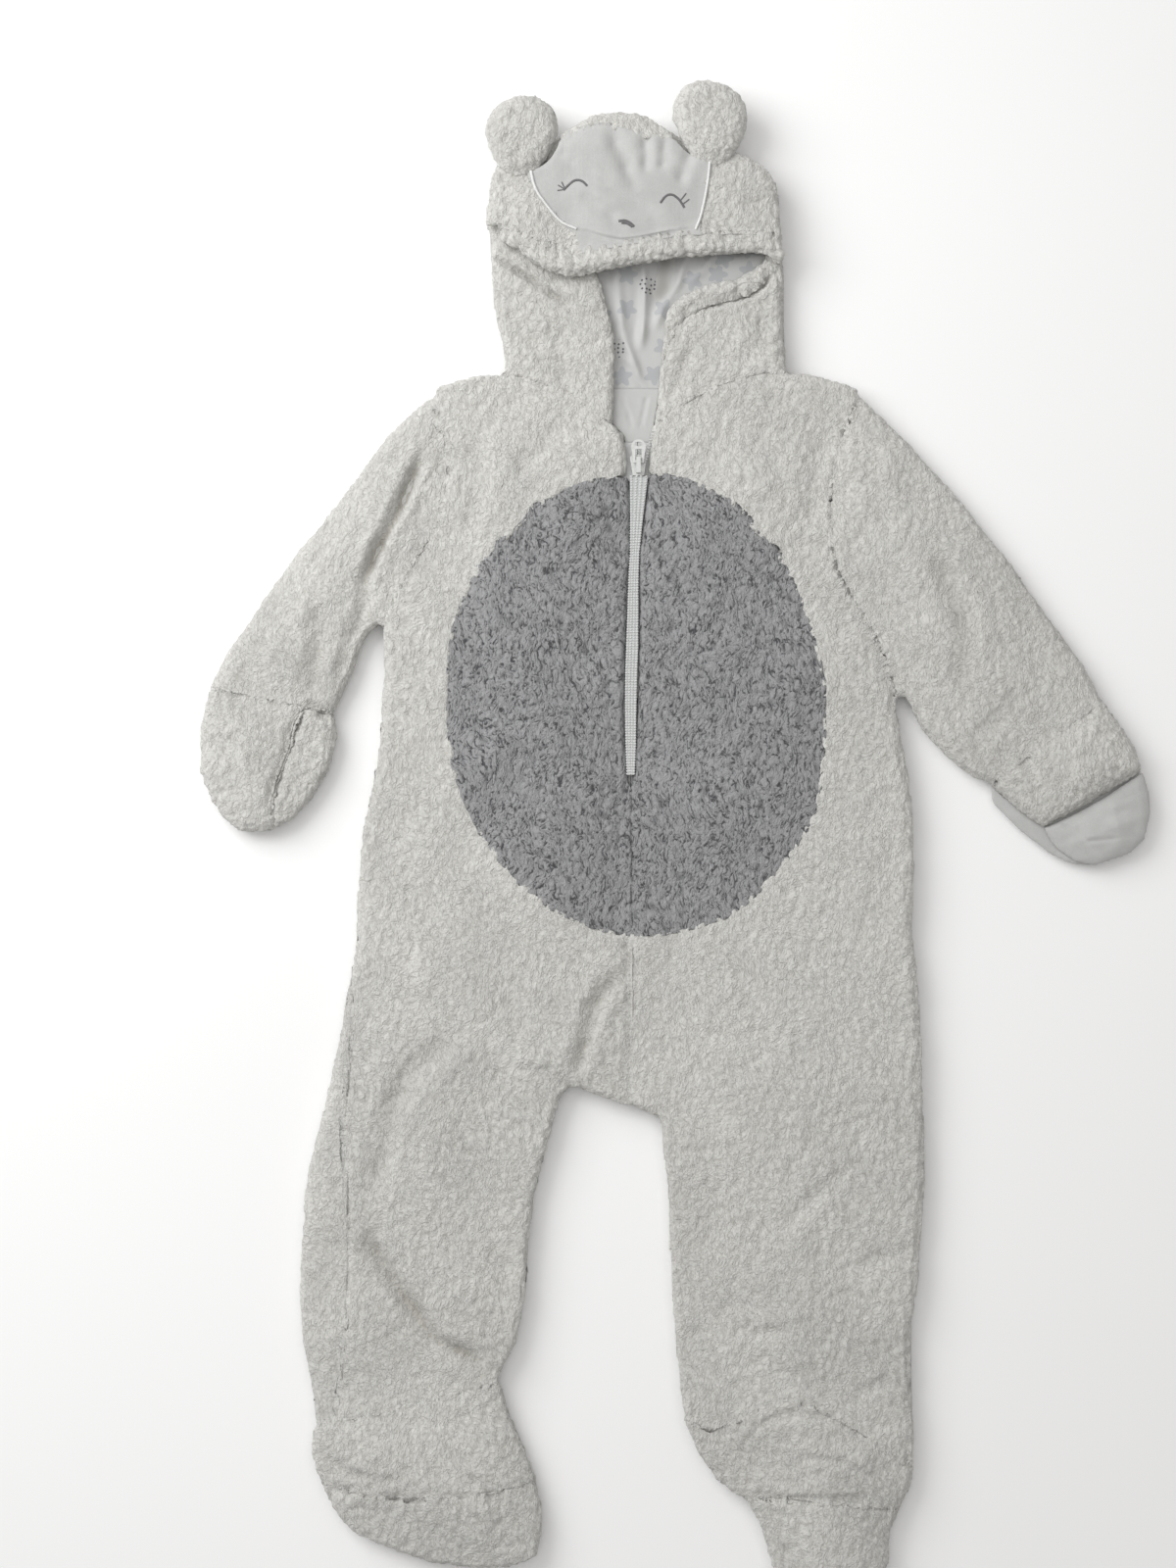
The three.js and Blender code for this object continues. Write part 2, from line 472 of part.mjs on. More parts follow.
// The rows of a table, laid out as points from end a to end b
function layOut(table, { step, columns, rimA, rimB, rimStart, rimEnd }) {
  const cornersOf = (end) => table.flatMap((row, i) => (row.corner === end ? [i] : []));
  const lineA = smoothLine(table.map((row) => [row.ax, row.ay]), cornersOf("a"));
  const lineB = smoothLine(table.map((row) => [row.bx, row.by]), cornersOf("b"));
  const lineBow = smoothLine(table.map((row, i) => [i, row.bow ?? 0]));
  const middle = (t) => {
    const [ax, ay] = lineA(t);
    const [bx, by] = lineB(t);
    return [(ax + bx) / 2, (ay + by) / 2 + lineBow(t)[1]];
  };
  const spans = table.length - 1;
  const lengths = Array.from({ length: spans }, (_, i) => {
    const [x0, y0] = middle(i);
    const [x1, y1] = middle(i + 1);
    return Math.hypot(x1 - x0, y1 - y0);
  });
  const times = [];
  lengths.forEach((length, i) => {
    const parts = Math.max(1, Math.round(length / step));
    for (let k = 0; k < parts; k += 1) times.push(i + k / parts);
  });
  times.push(spans);
  const startTimes = rimStart.slice(1).map((d) => d / lengths[0]);
  const endTimes = rimEnd.slice(1).map((d) => spans - d / lengths[spans - 1]);
  const firstKept = Math.max(0, ...startTimes) + 0.12;
  const lastKept = Math.min(spans, ...endTimes) - 0.12;
  const kept = times.filter((t) => t === 0 || t === spans
    || ((t > firstKept || startTimes.length === 0) && (t < lastKept || endTimes.length === 0)));
  const all = [...kept, ...startTimes, ...endTimes].sort((p, q) => p - q);
  return all.map((t) => {
    const a = lineA(t);
    const b = lineB(t);
    const bow = lineBow(t)[1];
    const width = Math.hypot(b[0] - a[0], b[1] - a[1]);
    const rimWidth = rimA[rimA.length - 1] + rimB[rimB.length - 1];
    const shrink = Math.min(1, (0.7 * width) / rimWidth);
    const inner = width - shrink * rimWidth;
    const shares = [
      ...rimA.map((d) => (d * shrink) / width),
      ...Array.from({ length: columns - 1 }, (_, k) =>
        (rimA[rimA.length - 1] * shrink + (inner * (k + 1)) / columns) / width),
      ...[...rimB].reverse().map((d) => 1 - (d * shrink) / width),
    ];
    return shares.map((s) => [mix(a[0], b[0], s), mix(a[1], b[1], s) + bow * 4 * s * (1 - s)]);
  });
}

// A piece of cloth between two edges. low and high give its two faces from x, y, the share of its height that its
// rounded edges leave and the distance to the nearest edge.
function panel(table, options) {
  const shape = {
    step: 20, columns: 6, rimA: ROUND_RIM, rimB: ROUND_RIM, rimStart: ROUND_RIM, rimEnd: ROUND_RIM,
    roundB: ROUND, roundStart: ROUND, roundEnd: ROUND, ...options,
  };
  const grid = layOut(table, shape);
  const lastRow = grid.length - 1;
  const lastColumn = grid[0].length - 1;
  const tableEdge = { points: table.map((row) => [row.ax, row.ay]), radii: table.map((row) => row.round ?? ROUND) };
  const gridEdge = grid.map((row) => row[0]);
  const edges = [
    { points: gridEdge, radii: nearestRadius(tableEdge, gridEdge) },
    { points: grid.map((row) => row[lastColumn]), radii: grid.map(() => shape.roundB) },
    { points: grid[0], radii: grid[0].map(() => shape.roundStart) },
    { points: grid[lastRow], radii: grid[0].map(() => shape.roundEnd) },
  ];
  const faces = grid.map((row) => row.map(([x, y]) => {
    let share = 1;
    let inset = Infinity;
    for (const edge of edges) {
      const { distance, along } = nearest(edge.points, x, y);
      const radius = edge.radii[Math.min(edge.radii.length - 1, Math.round(along))];
      if (radius > 0) share = Math.min(share, edgeShare(distance, radius));
      inset = Math.min(inset, distance);
    }
    return { low: shape.low(x, y, share, inset), high: shape.high(x, y, share, inset) };
  }));
  return gridSolid(grid, faces);
}

function nearestRadius(edge, points) {
  return points.map(([x, y]) => {
    const { along } = nearest(edge.points, x, y);
    const i = Math.floor(along);
    const next = Math.min(edge.radii.length - 1, i + 1);
    return mix(edge.radii[i], edge.radii[next], along - i);
  });
}

function gridSolid(grid, faces) {
  const rows = grid.length;
  const columns = grid[0].length;
  const size = rows * columns;
  const at = (i, j) => i * columns + j;
  const positions = [
    ...grid.flatMap((row, i) => row.map(([x, y], j) => [x, y, faces[i][j].high])),
    ...grid.flatMap((row, i) => row.map(([x, y], j) => [x, y, faces[i][j].low])),
  ];
  const triangles = [];
  for (let i = 0; i + 1 < rows; i += 1) {
    for (let j = 0; j + 1 < columns; j += 1) {
      const [p, q, r, s] = [at(i, j), at(i + 1, j), at(i + 1, j + 1), at(i, j + 1)];
      const apart = (m, n) => Math.hypot(positions[m][0] - positions[n][0], positions[m][1] - positions[n][1]);
      const halves = apart(p, r) <= apart(q, s) ? [[p, q, r], [p, r, s]] : [[p, q, s], [q, r, s]];
      triangles.push(...halves);
      triangles.push(...halves.map(([u, v, w]) => [u + size, w + size, v + size]));
    }
  }
  const rim = [
    ...Array.from({ length: rows }, (_, i) => at(i, 0)),
    ...Array.from({ length: columns - 1 }, (_, j) => at(rows - 1, j + 1)),
    ...Array.from({ length: rows - 1 }, (_, i) => at(rows - 2 - i, columns - 1)),
    ...Array.from({ length: columns - 2 }, (_, j) => at(0, columns - 2 - j)),
  ];
  rim.forEach((here, k) => {
    const next = rim[(k + 1) % rim.length];
    triangles.push([here, here + size, next + size], [here, next + size, next]);
  });
  const outline = rim.map((v) => positions[v]);
  const outward = turnsLeft(outline) ? triangles : triangles.map(([u, v, w]) => [u, w, v]);
  return toSolid(positions, outward);
}

// A roll of cloth along a line, round on top and flat below
function roll(table, base, flatness, sides, perSpan = 2) {
  const line = smoothLine(table.map((row) => [row.x, row.y]));
  const widths = smoothLine(table.map((row, i) => [i, row.radius]));
  const count = (table.length - 1) * perSpan;
  const positions = [];
  for (let i = 0; i <= count; i += 1) {
    const t = i / perSpan;
    const [x, y] = line(t);
    const [x0, y0] = line(Math.max(0, t - 0.1));
    const [x1, y1] = line(Math.min(table.length - 1, t + 0.1));
    const length = Math.hypot(x1 - x0, y1 - y0);
    const normal = [-(y1 - y0) / length, (x1 - x0) / length];
    const radius = widths(t)[1] * (i === 0 || i === count ? 0.55 : 1);
    for (let k = 0; k < sides; k += 1) {
      const angle = (2 * Math.PI * k) / sides;
      const across = radius * Math.cos(angle);
      const up = Math.max(-0.72, Math.sin(angle)) * radius * flatness;
      positions.push([x + normal[0] * across, y + normal[1] * across, base + 0.72 * radius * flatness + up]);
    }
  }
  const triangles = [];
  for (let i = 0; i < count; i += 1) {
    for (let k = 0; k < sides; k += 1) {
      const next = (k + 1) % sides;
      const [p, q, r, s] = [i * sides + k, i * sides + next, (i + 1) * sides + next, (i + 1) * sides + k];
      triangles.push([p, q, r], [p, r, s]);
    }
  }
  const lastRing = count * sides;
  for (let k = 1; k + 1 < sides; k += 1) {
    triangles.push([0, k + 1, k], [lastRing, lastRing + k, lastRing + k + 1]);
  }
  return toSolid(positions, triangles);
}

// The ground that a roll covers, a little wider, and all that lies towards the feet of it
function belowRoll(table, clearance) {
  const line = sampled(table.map((row) => [row.x, row.y]));
  const widths = sampled(table.map((row, i) => [i, row.radius]));
  const upper = line.map((point, i) => shifted(line, widths[i][1] + clearance)[i]);
  return prism([[-FAR, upper[0][1]], ...upper, [FAR, upper[upper.length - 1][1]], [FAR, -FAR], [-FAR, -FAR]]);
}

// Heights of the layers

const frontLift = lifter(FOLDS);
const sleeveLift = lifter(SLEEVE_FOLDS);
const mittLift = lifter(MITT_FOLDS);
const crownLift = lifter(CROWN_FOLDS);
const eased = (inset, reach = 22) => smoothStep(inset / reach);

const zipEdge = (table) => sampled(table.filter((row) => row.centre).map((row) => [row.bx, row.by]));
const ZIP_EDGE_RIGHT = zipEdge(RIGHT_HALF);
const ZIP_EDGE_LEFT = zipEdge(LEFT_HALF);
const TAPE_REACH = ZIP_RIM[2] + 0.2;

// The zip's tapes lie under the front's edges
function tapeRoom(x, y) {
  const edge = x < CENTRE_X + 4 ? ZIP_EDGE_RIGHT : ZIP_EDGE_LEFT;
  const besideZip = nearest(edge, x, y).distance <= TAPE_REACH && y > ZIP_FOOT_Y - 30;
  return besideZip ? TAPE + GAP : 0;
}

const frontFaces = {
  low: (x, y, share, inset) => FRONT_Z + frontLift(x, y) * eased(inset) + tapeRoom(x, y),
  high: (x, y, share, inset) => FRONT_Z + frontLift(x, y) * eased(inset) + CLOTH * share,
};
const layerFaces = (base, thick, lift, reach) => ({
  low: (x, y, share, inset) => base + lift(x, y) * eased(inset, reach),
  high: (x, y, share, inset) => base + lift(x, y) * eased(inset, reach) + thick * share,
});
const flatFaces = (thick) => ({
  low: (x, y, share) => (share > FLAT_SHARE ? 0 : thick * (1 - share)),
  high: () => thick,
});

// Body

// The outer edge of half the body from the shoulder to the armpit, and some rows past it
function outerEdge(table, rowsPast) {
  const armpit = table.findIndex((row) => row.corner === "a");
  const line = smoothLine(table.map((row) => [row.ax, row.ay]), [armpit]);
  return Array.from({ length: (armpit + rowsPast) * 8 + 1 }, (_, i) => line(i / 8));
}

function sleeveGround(table, side) {
  const edge = outerEdge(table, 0);
  return prism([...edge, [side * FAR, edge[edge.length - 1][1]], [side * FAR, FAR], [edge[0][0], FAR]]);
}

// Front and back reach past the armhole and are cut back to its curve
function halfBody(table, seamSide) {
  const armpit = table.findIndex((row) => row.corner === "a");
  const wide = table.map((row, i) => (i < armpit ? { ...row, ax: row.ax + seamSide * ARMHOLE_SPARE } : row));
  const front = panel(wide, {
    columns: 4, rimB: ZIP_RIM, roundB: 3.5, roundStart: SEAM_ROUND, ...frontFaces,
  });
  const straight = wide.map((row) => (row.centre ? { ...row, bx: CENTRE_X + (seamSide * GAP) / 2 } : row));
  straight[0] = { ...straight[0], by: BACK_NECK.y, bow: BACK_NECK.bow };
  const back = panel(straight, {
    step: 34, columns: 2, rimB: SEAM_RIM, roundB: 3.5, rimStart: SEAM_RIM, roundStart: SEAM_ROUND,
    ...flatFaces(CLOTH),
  });
  const armhole = sleeveGround(table, seamSide);
  return { front: front.subtract(armhole), back: back.subtract(armhole), backTable: straight };
}

const rightHalf = halfBody(RIGHT_HALF, -1);
const leftHalf = halfBody(LEFT_HALF, 1);

const bellyOutline = closedOutline(BELLY);
const bellyHole = prism(grown(bellyOutline, GAP / 2));
const bellyPlug = prism(grown(bellyOutline, -GAP / 2));

function parted(solid, line) {
  const upper = solid.subtract(towardsFeet(line, GAP / 2));
  const lower = solid.intersect(towardsFeet(line, -GAP / 2));
  return [upper, lower];
}

function leftOf(line, offset) {
  const edge = shifted(sampled(line), offset);
  return prism([...edge, [-FAR, edge[edge.length - 1][1]], [-FAR, edge[0][1]]]);
}

// The back of the right leg is rolled round to the front as far as its side seam
function withRolledSide(back, front) {
  const { inset: margin, width, overlap, highY, lowY } = ROLLED_SIDE;
  const strip = front.intersect(leftOf(SIDE_SEAM_RIGHT, -GAP / 2));
  const legRows = RIGHT_HALF.filter((row) => row.ay < highY && row.ay > lowY);
  const fold = panel(
    legRows.map((row) => ({ ax: row.ax + margin, ay: row.ay, bx: row.ax + margin + width, by: row.ay })),
    {
      columns: 1, rimA: [0], rimB: [0], rimStart: [0], rimEnd: [0], roundB: 0, roundStart: 0, roundEnd: 0,
      low: () => CLOTH - overlap, high: () => FRONT_Z + overlap,
    },
  );
  return back.add(fold).add(strip);
}

const [legRight, footRight] = parted(rightHalf.front, ANKLE_RIGHT);
const [footRightUpper, footRightSole] = parted(footRight, SOLE_RIGHT);
const [backRight, footRightUnder] = parted(rightHalf.back, ANKLE_RIGHT);
const frontRight = legRight.subtract(bellyHole).subtract(leftOf(SIDE_SEAM_RIGHT, GAP / 2));
const bellyRight = legRight.intersect(bellyPlug);

const [legLeft, footLeft] = parted(leftHalf.front, INSTEP_LEFT);
const [footLeftInstep, footLeftUpper] = parted(footLeft, VAMP_LEFT);
const [backLeft, footLeftSole] = parted(leftHalf.back, VAMP_LEFT);
const frontLeft = legLeft.subtract(bellyHole);
const bellyLeft = legLeft.intersect(bellyPlug);

// Sleeves

function inset(table, margin, past) {
  const moved = table.map((row) => {
    const width = Math.hypot(row.bx - row.ax, row.by - row.ay);
    const dx = ((row.bx - row.ax) / width) * margin;
    const dy = ((row.by - row.ay) / width) * margin;
    return { ...row, ax: row.ax + dx, ay: row.ay + dy, bx: row.bx - dx, by: row.by - dy };
  });
  const last = moved[moved.length - 1];
  const before = moved[moved.length - 2];
  const stretch = (from, to) => to + ((to - from) / Math.abs(to - from || 1)) * past;
  return [...moved.slice(0, -1), {
    ...last,
    ax: stretch(before.ax, last.ax),
    ay: stretch(before.ay, last.ay),
    bx: stretch(before.bx, last.bx),
    by: stretch(before.by, last.by),
  }];
}

function sleeve(table, bodyTable, bodySide) {
  const outer = panel(table, {
    step: 24, columns: 4, rimStart: [0], rimEnd: SEAM_RIM, roundStart: 0, roundEnd: SEAM_ROUND,
    low: flatFaces(CLOTH).low,
    high: (x, y, share, distance) => FRONT_Z + sleeveLift(x, y) * eased(distance) + CLOTH * share,
  });
  const hollow = panel(inset(table, SLEEVE_HOLLOW.margin, SLEEVE_HOLLOW.past), {
    step: 24, columns: 3, rimA: [0], rimB: [0], rimStart: [0], rimEnd: [0],
    roundB: 0, roundStart: 0, roundEnd: 0,
    low: () => CLOTH,
    high: (x, y, share, distance) => FRONT_Z + SLEEVE_HOLLOW.share * sleeveLift(x, y) * eased(distance),
  });
  const cleared = shifted(outerEdge(bodyTable, 2), -bodySide * GAP);
  const body = prism([...cleared, [CENTRE_X, cleared[cleared.length - 1][1]], [CENTRE_X, FAR], [cleared[0][0], FAR]]);
  return outer.subtract(hollow).subtract(body);
}

const sleeveRight = sleeve(RIGHT_SLEEVE, RIGHT_HALF, 1);
const sleeveLeft = sleeve(LEFT_SLEEVE, LEFT_HALF, -1);

// Mitts

const mittShape = { step: 16, columns: 3, rimStart: SEAM_RIM, roundStart: SEAM_ROUND };
const mittRightTop = panel(RIGHT_MITT, { ...mittShape, ...layerFaces(FRONT_Z, CLOTH, mittLift, 16) });
const mittRightPalm = panel(RIGHT_MITT, { ...mittShape, columns: 1, ...flatFaces(CLOTH) });
const mittRightFlap = mittRightTop.intersect(leftOf(MITT_FLAP_RIGHT, -GAP / 2));
const mittRightHand = mittRightTop.subtract(leftOf(MITT_FLAP_RIGHT, GAP / 2));
const cuffLeft = panel(LEFT_CUFF, { ...mittShape, ...layerFaces(FRONT_Z, CUFF_CLOTH, mittLift, 16) });
const mittLeftHand = panel(LEFT_HAND, { ...mittShape, ...layerFaces(FRONT_Z, HAND_CLOTH, mittLift, 16) });
const mittLeftPalm = panel(LEFT_PALM, { ...mittShape, columns: 1, ...flatFaces(CLOTH) });

// Hood

function underRow(row, rise) {
  const points = Array.from({ length: 41 }, (_, i) => {
    const s = i / 40;
    return [mix(row.ax, row.bx, s), mix(row.ay, row.by, s) + row.bow * 4 * s * (1 - s) + rise];
  });
  return prism([...points, [row.bx, -FAR], [row.ax, -FAR]]);
}

const hoodBack = panel(HOOD_BACK, { step: 40, columns: 2, ...flatFaces(HOOD_CLOTH) })
  .subtract(underRow(rightHalf.backTable[0], GAP))
  .subtract(underRow(leftHalf.backTable[0], GAP));

// A side of the hood: it lies over the lining and comes down to the back along its outer edge
function hoodSide(table, frontRow) {
  const outer = table.map((row) => [row.ax, row.ay]);
  return panel(table, {
    step: 18, columns: 3, roundB: 4, roundStart: 0, rimStart: [0], rimEnd: [0], roundEnd: 0,
    low: (x, y) => (nearest(outer, x, y).distance < SIDE_DROP ? LINING_Z : SIDE_Z),
    high: (x, y, share) => mix(SIDE_Z, SIDE_TOP_Z, share),
  }).subtract(underRow(frontRow, GAP));
}

const hoodSideRight = hoodSide(HOOD_SIDE_RIGHT, RIGHT_HALF[0]);
const hoodSideLeft = hoodSide(HOOD_SIDE_LEFT, LEFT_HALF[0]);
const hoodBrim = roll(BRIM, CROWN_Z, 0.92, 10);
const hoodEdgeLeft = roll(TURNED_EDGE, SIDE_Z, 0.85, 8);

const hoodLining = prism(HOOD_LINING, LINING_Z, LINING_Z + LINING);
const neckFacing = prism(NECK_FACING, FRONT_Z, FRONT_Z + FACING);

const EAR_SIDES = 28;

function ellipse({ x, y, halfWidth, halfHeight }, grow) {
  return Array.from({ length: EAR_SIDES }, (_, i) => {
    const angle = (2 * Math.PI * i) / EAR_SIDES;
    return [x + (halfWidth + grow) * Math.cos(angle), y + (halfHeight + grow) * Math.sin(angle)];
  });
}

function ear({ x, y, halfWidth, halfHeight }) {
  const profile = [[0, 0], [0.8, 0], [0.94, 0.1], [1, 0.32], [0.94, 0.64], [0.7, 0.92], [0, 1]]
    .map(([r, h]) => new THREE.Vector2(r * halfWidth, h * EAR.height));
  const geometry = new THREE.LatheGeometry(profile, 20);
  geometry.rotateX(Math.PI / 2);
  geometry.scale(1, halfHeight / halfWidth, 1);
  geometry.translate(x, y, EAR.base);
  return geometrySolid(geometry);
}

const crownWhole = panel(CROWN, {
  step: 12, columns: 8, rimEnd: [0], roundEnd: 0, ...layerFaces(CROWN_Z, CROWN_CLOTH, crownLift, 14),
})
  .subtract(belowRoll(BRIM, GAP))
  .subtract(prism(ellipse(EAR_RIGHT, GAP)))
  .subtract(prism(ellipse(EAR_LEFT, GAP)));
const faceOutline = closedOutline(FACE);
const face = crownWhole.intersect(prism(grown(faceOutline, -GAP / 2)));
const crownRing = crownWhole.subtract(prism(grown(faceOutline, GAP / 2)));
const besideSeam = (side) => prism([
  [CROWN_SEAM_X + (side * GAP) / 2, FAR + 50], [CROWN_SEAM_X + (side * GAP) / 2, 0],
  [side * FAR, 0], [side * FAR, FAR + 50],
]);
const betweenEars = prism([[EAR_RIGHT.x, 374.4], [EAR_LEFT.x, 380.5], [EAR_LEFT.x, FAR + 50], [EAR_RIGHT.x, FAR + 50]]);
const hoodTop = crownRing.intersect(betweenEars);
const hoodCheeks = crownRing.subtract(betweenEars);

// Zip

function edgeX(points, y) {
  const i = Math.max(0, Math.min(points.length - 2, points.findIndex(([, py]) => py <= y) - 1));
  const [[x0, y0], [x1, y1]] = [points[i], points[i + 1]];
  return mix(x0, x1, (y - y0) / (y1 - y0));
}
const zipMiddle = (y) => (edgeX(ZIP_EDGE_RIGHT, y) + edgeX(ZIP_EDGE_LEFT, y)) / 2;
const stations = (from, to, count) => Array.from({ length: count + 1 }, (_, i) => mix(from, to, i / count));

function zipTape(side, edge) {
  const ys = stations(ZIP_TOP_Y, ZIP_FOOT_Y, 14);
  const inner = ys.map((y) => [zipMiddle(y) + side * GAP / 2, y]);
  const outer = ys.map((y) => [edgeX(edge, y) + side * TAPE_HIDDEN, y]);
  return prism([...inner, ...outer.reverse()], FRONT_Z, FRONT_Z + TAPE);
}

function zipChain() {
  const ys = stations(CHAIN_TOP_Y, CHAIN_FOOT_Y, 10);
  const table = ys.map((y) => ({
    ax: edgeX(ZIP_EDGE_RIGHT, y) + CHAIN_EDGE, ay: y, bx: edgeX(ZIP_EDGE_LEFT, y) - CHAIN_EDGE, by: y, round: 1.2,
  }));
  return panel(table, {
    step: 60, columns: 1, rimA: [0, 0.8], rimB: [0, 0.8], rimStart: [0], rimEnd: [0],
    roundB: 1.2, roundStart: 0, roundEnd: 0,
    low: () => CHAIN_Z,
    high: (x, y, share, distance) => CHAIN_Z + CHAIN * (distance < CHAIN_EDGE / 2 ? CHAIN_EDGE_SHARE : 1),
  });
}

function boxSolid(x0, x1, y0, y1, z0, z1) {
  const geometry = new THREE.BoxGeometry(x1 - x0, y1 - y0, z1 - z0);
  geometry.translate((x0 + x1) / 2, (y0 + y1) / 2, (z0 + z1) / 2);
  return geometrySolid(geometry);
}

function zipSlider() {
  const { x, lowY, highY, lowHalf, highHalf, corner } = SLIDER;
  const body = prism([
    [x - lowHalf, lowY], [x + lowHalf, lowY], [x + highHalf - corner / 2, highY - 5],
    [x + highHalf, highY - corner], [x + highHalf - corner, highY], [x - highHalf + corner, highY],
    [x - highHalf, highY - corner], [x - highHalf + corner / 2, highY - 5],
  ], CHAIN_Z, SLIDER_TOP_Z);
  const top = SLIDER_TOP_Z + BRIDGE.top;
  const arch = boxSolid(x - BRIDGE.half, x + BRIDGE.half, BRIDGE.lowY, BRIDGE.highY, SLIDER_TOP_Z - 0.5, top);
  const eye = boxSolid(
    x - BRIDGE.half - 1, x + BRIDGE.half + 1, BRIDGE.lowY + BRIDGE.post, BRIDGE.highY - BRIDGE.post,
    SLIDER_TOP_Z, top - BRIDGE.bar,
  );
  return body.add(arch.subtract(eye));
}

// The tab points to the neck and turns about its cross bar, which runs under the slider's bridge
function zipPullTab() {
  const { half, slotHalf, thick, backY, slotLow, slotHigh, length, waist } = TAB;
  const outline = new THREE.Shape();
  outline.moveTo(-half + 1, -backY);
  outline.lineTo(half - 1, -backY);
  outline.lineTo(half - 0.6, waist);
  outline.lineTo(half, length - half);
  outline.absarc(0, length - half, half, 0, Math.PI, false);
  outline.lineTo(-half, length - half);
  outline.lineTo(-half + 0.6, waist);
  outline.closePath();
  const slot = new THREE.Path();
  slot.moveTo(-slotHalf, slotLow);
  slot.lineTo(-slotHalf, slotHigh);
  slot.lineTo(slotHalf, slotHigh);
  slot.lineTo(slotHalf, slotLow);
  slot.closePath();
  const eye = new THREE.Path();
  eye.absellipse(0, TAB.eyeY, TAB.eyeHalfWidth, TAB.eyeHalfHeight, 0, 2 * Math.PI, true);
  outline.holes.push(slot, eye);
  const geometry = new THREE.ExtrudeGeometry(outline, { depth: thick, bevelEnabled: false, curveSegments: 8 });
  geometry.translate(SLIDER.x, PIN.y, SLIDER_TOP_Z + PIN.rise - thick / 2);
  return geometrySolid(geometry);
}

// The model

const fleece = { color: 0xc9c8c3, roughness: 0.95, metalness: 0 };
const greyFleece = { color: 0x8c8c8d, roughness: 0.95, metalness: 0 };
const velour = { color: 0xcdcdcb, roughness: 0.85, metalness: 0 };
const jersey = { color: 0xb4b3ae, roughness: 0.9, metalness: 0 };
const tapeCloth = { color: 0xe2e2de, roughness: 0.8, metalness: 0 };
const plastic = { color: 0xdededb, roughness: 0.45, metalness: 0 };

const group = new THREE.Group();

function place(name, solid, finish) {
  const mesh = solid.getMesh();
  const geometry = new THREE.BufferGeometry();
  geometry.setAttribute("position", new THREE.BufferAttribute(new Float32Array(mesh.vertProperties), 3));
  geometry.setIndex(new THREE.BufferAttribute(new Uint32Array(mesh.triVerts), 1));
  geometry.computeVertexNormals();
  const item = new THREE.Mesh(geometry, new THREE.MeshStandardMaterial(finish));
  item.name = name;
  group.add(item);
}

place("front_right", frontRight, fleece);
place("front_left", frontLeft, fleece);
place("belly_right", bellyRight, greyFleece);
place("belly_left", bellyLeft, greyFleece);
place("back_right", withRolledSide(backRight, legRight), fleece);
place("back_left", backLeft, fleece);
place("foot_right_upper", footRightUpper, fleece);
place("foot_right_sole", footRightSole, fleece);
place("foot_right_under", footRightUnder, fleece);
place("foot_left_instep", footLeftInstep, fleece);
place("foot_left_upper", footLeftUpper, fleece);
place("foot_left_sole", footLeftSole, fleece);
place("sleeve_right", sleeveRight, fleece);
place("sleeve_left", sleeveLeft, fleece);
place("mitt_right_palm", mittRightPalm, fleece);
place("mitt_right_flap", mittRightFlap, fleece);
place("mitt_right_hand", mittRightHand, fleece);
place("cuff_left", cuffLeft, fleece);
place("mitt_left_hand", mittLeftHand, velour);
place("mitt_left_palm", mittLeftPalm, velour);
place("hood_back", hoodBack, fleece);
place("hood_side_right", hoodSideRight, fleece);
place("hood_side_left", hoodSideLeft, fleece);
place("hood_top_right", hoodTop.intersect(besideSeam(-1)), fleece);
place("hood_top_left", hoodTop.intersect(besideSeam(1)), fleece);
place("hood_cheek_right", hoodCheeks.intersect(besideSeam(-1)), fleece);
place("hood_cheek_left", hoodCheeks.intersect(besideSeam(1)), fleece);
place("hood_brim", hoodBrim, fleece);
place("hood_edge_left", hoodEdgeLeft, fleece);
place("hood_lining", hoodLining, jersey);
place("neck_facing", neckFacing, tapeCloth);
place("face", face, velour);
place("ear_right", ear(EAR_RIGHT), fleece);
place("ear_left", ear(EAR_LEFT), fleece);
place("zip_tape_right", zipTape(-1, ZIP_EDGE_RIGHT), tapeCloth);
place("zip_tape_left", zipTape(1, ZIP_EDGE_LEFT), tapeCloth);
place("zip_chain", zipChain(), tapeCloth);
place("zip_slider", zipSlider(), plastic);
place("zip_pull_tab", zipPullTab(), plastic);

export default group;
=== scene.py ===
"""The looks of a hooded baby snowsuit in curly pile fleece, laid flat on its back. Everything is in metres,
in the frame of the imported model: +X is the wearer's left, +Y the head end, +Z up from the floor."""

import bmesh
import bpy
import numpy as np
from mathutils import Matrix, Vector
from mathutils.bvhtree import BVHTree


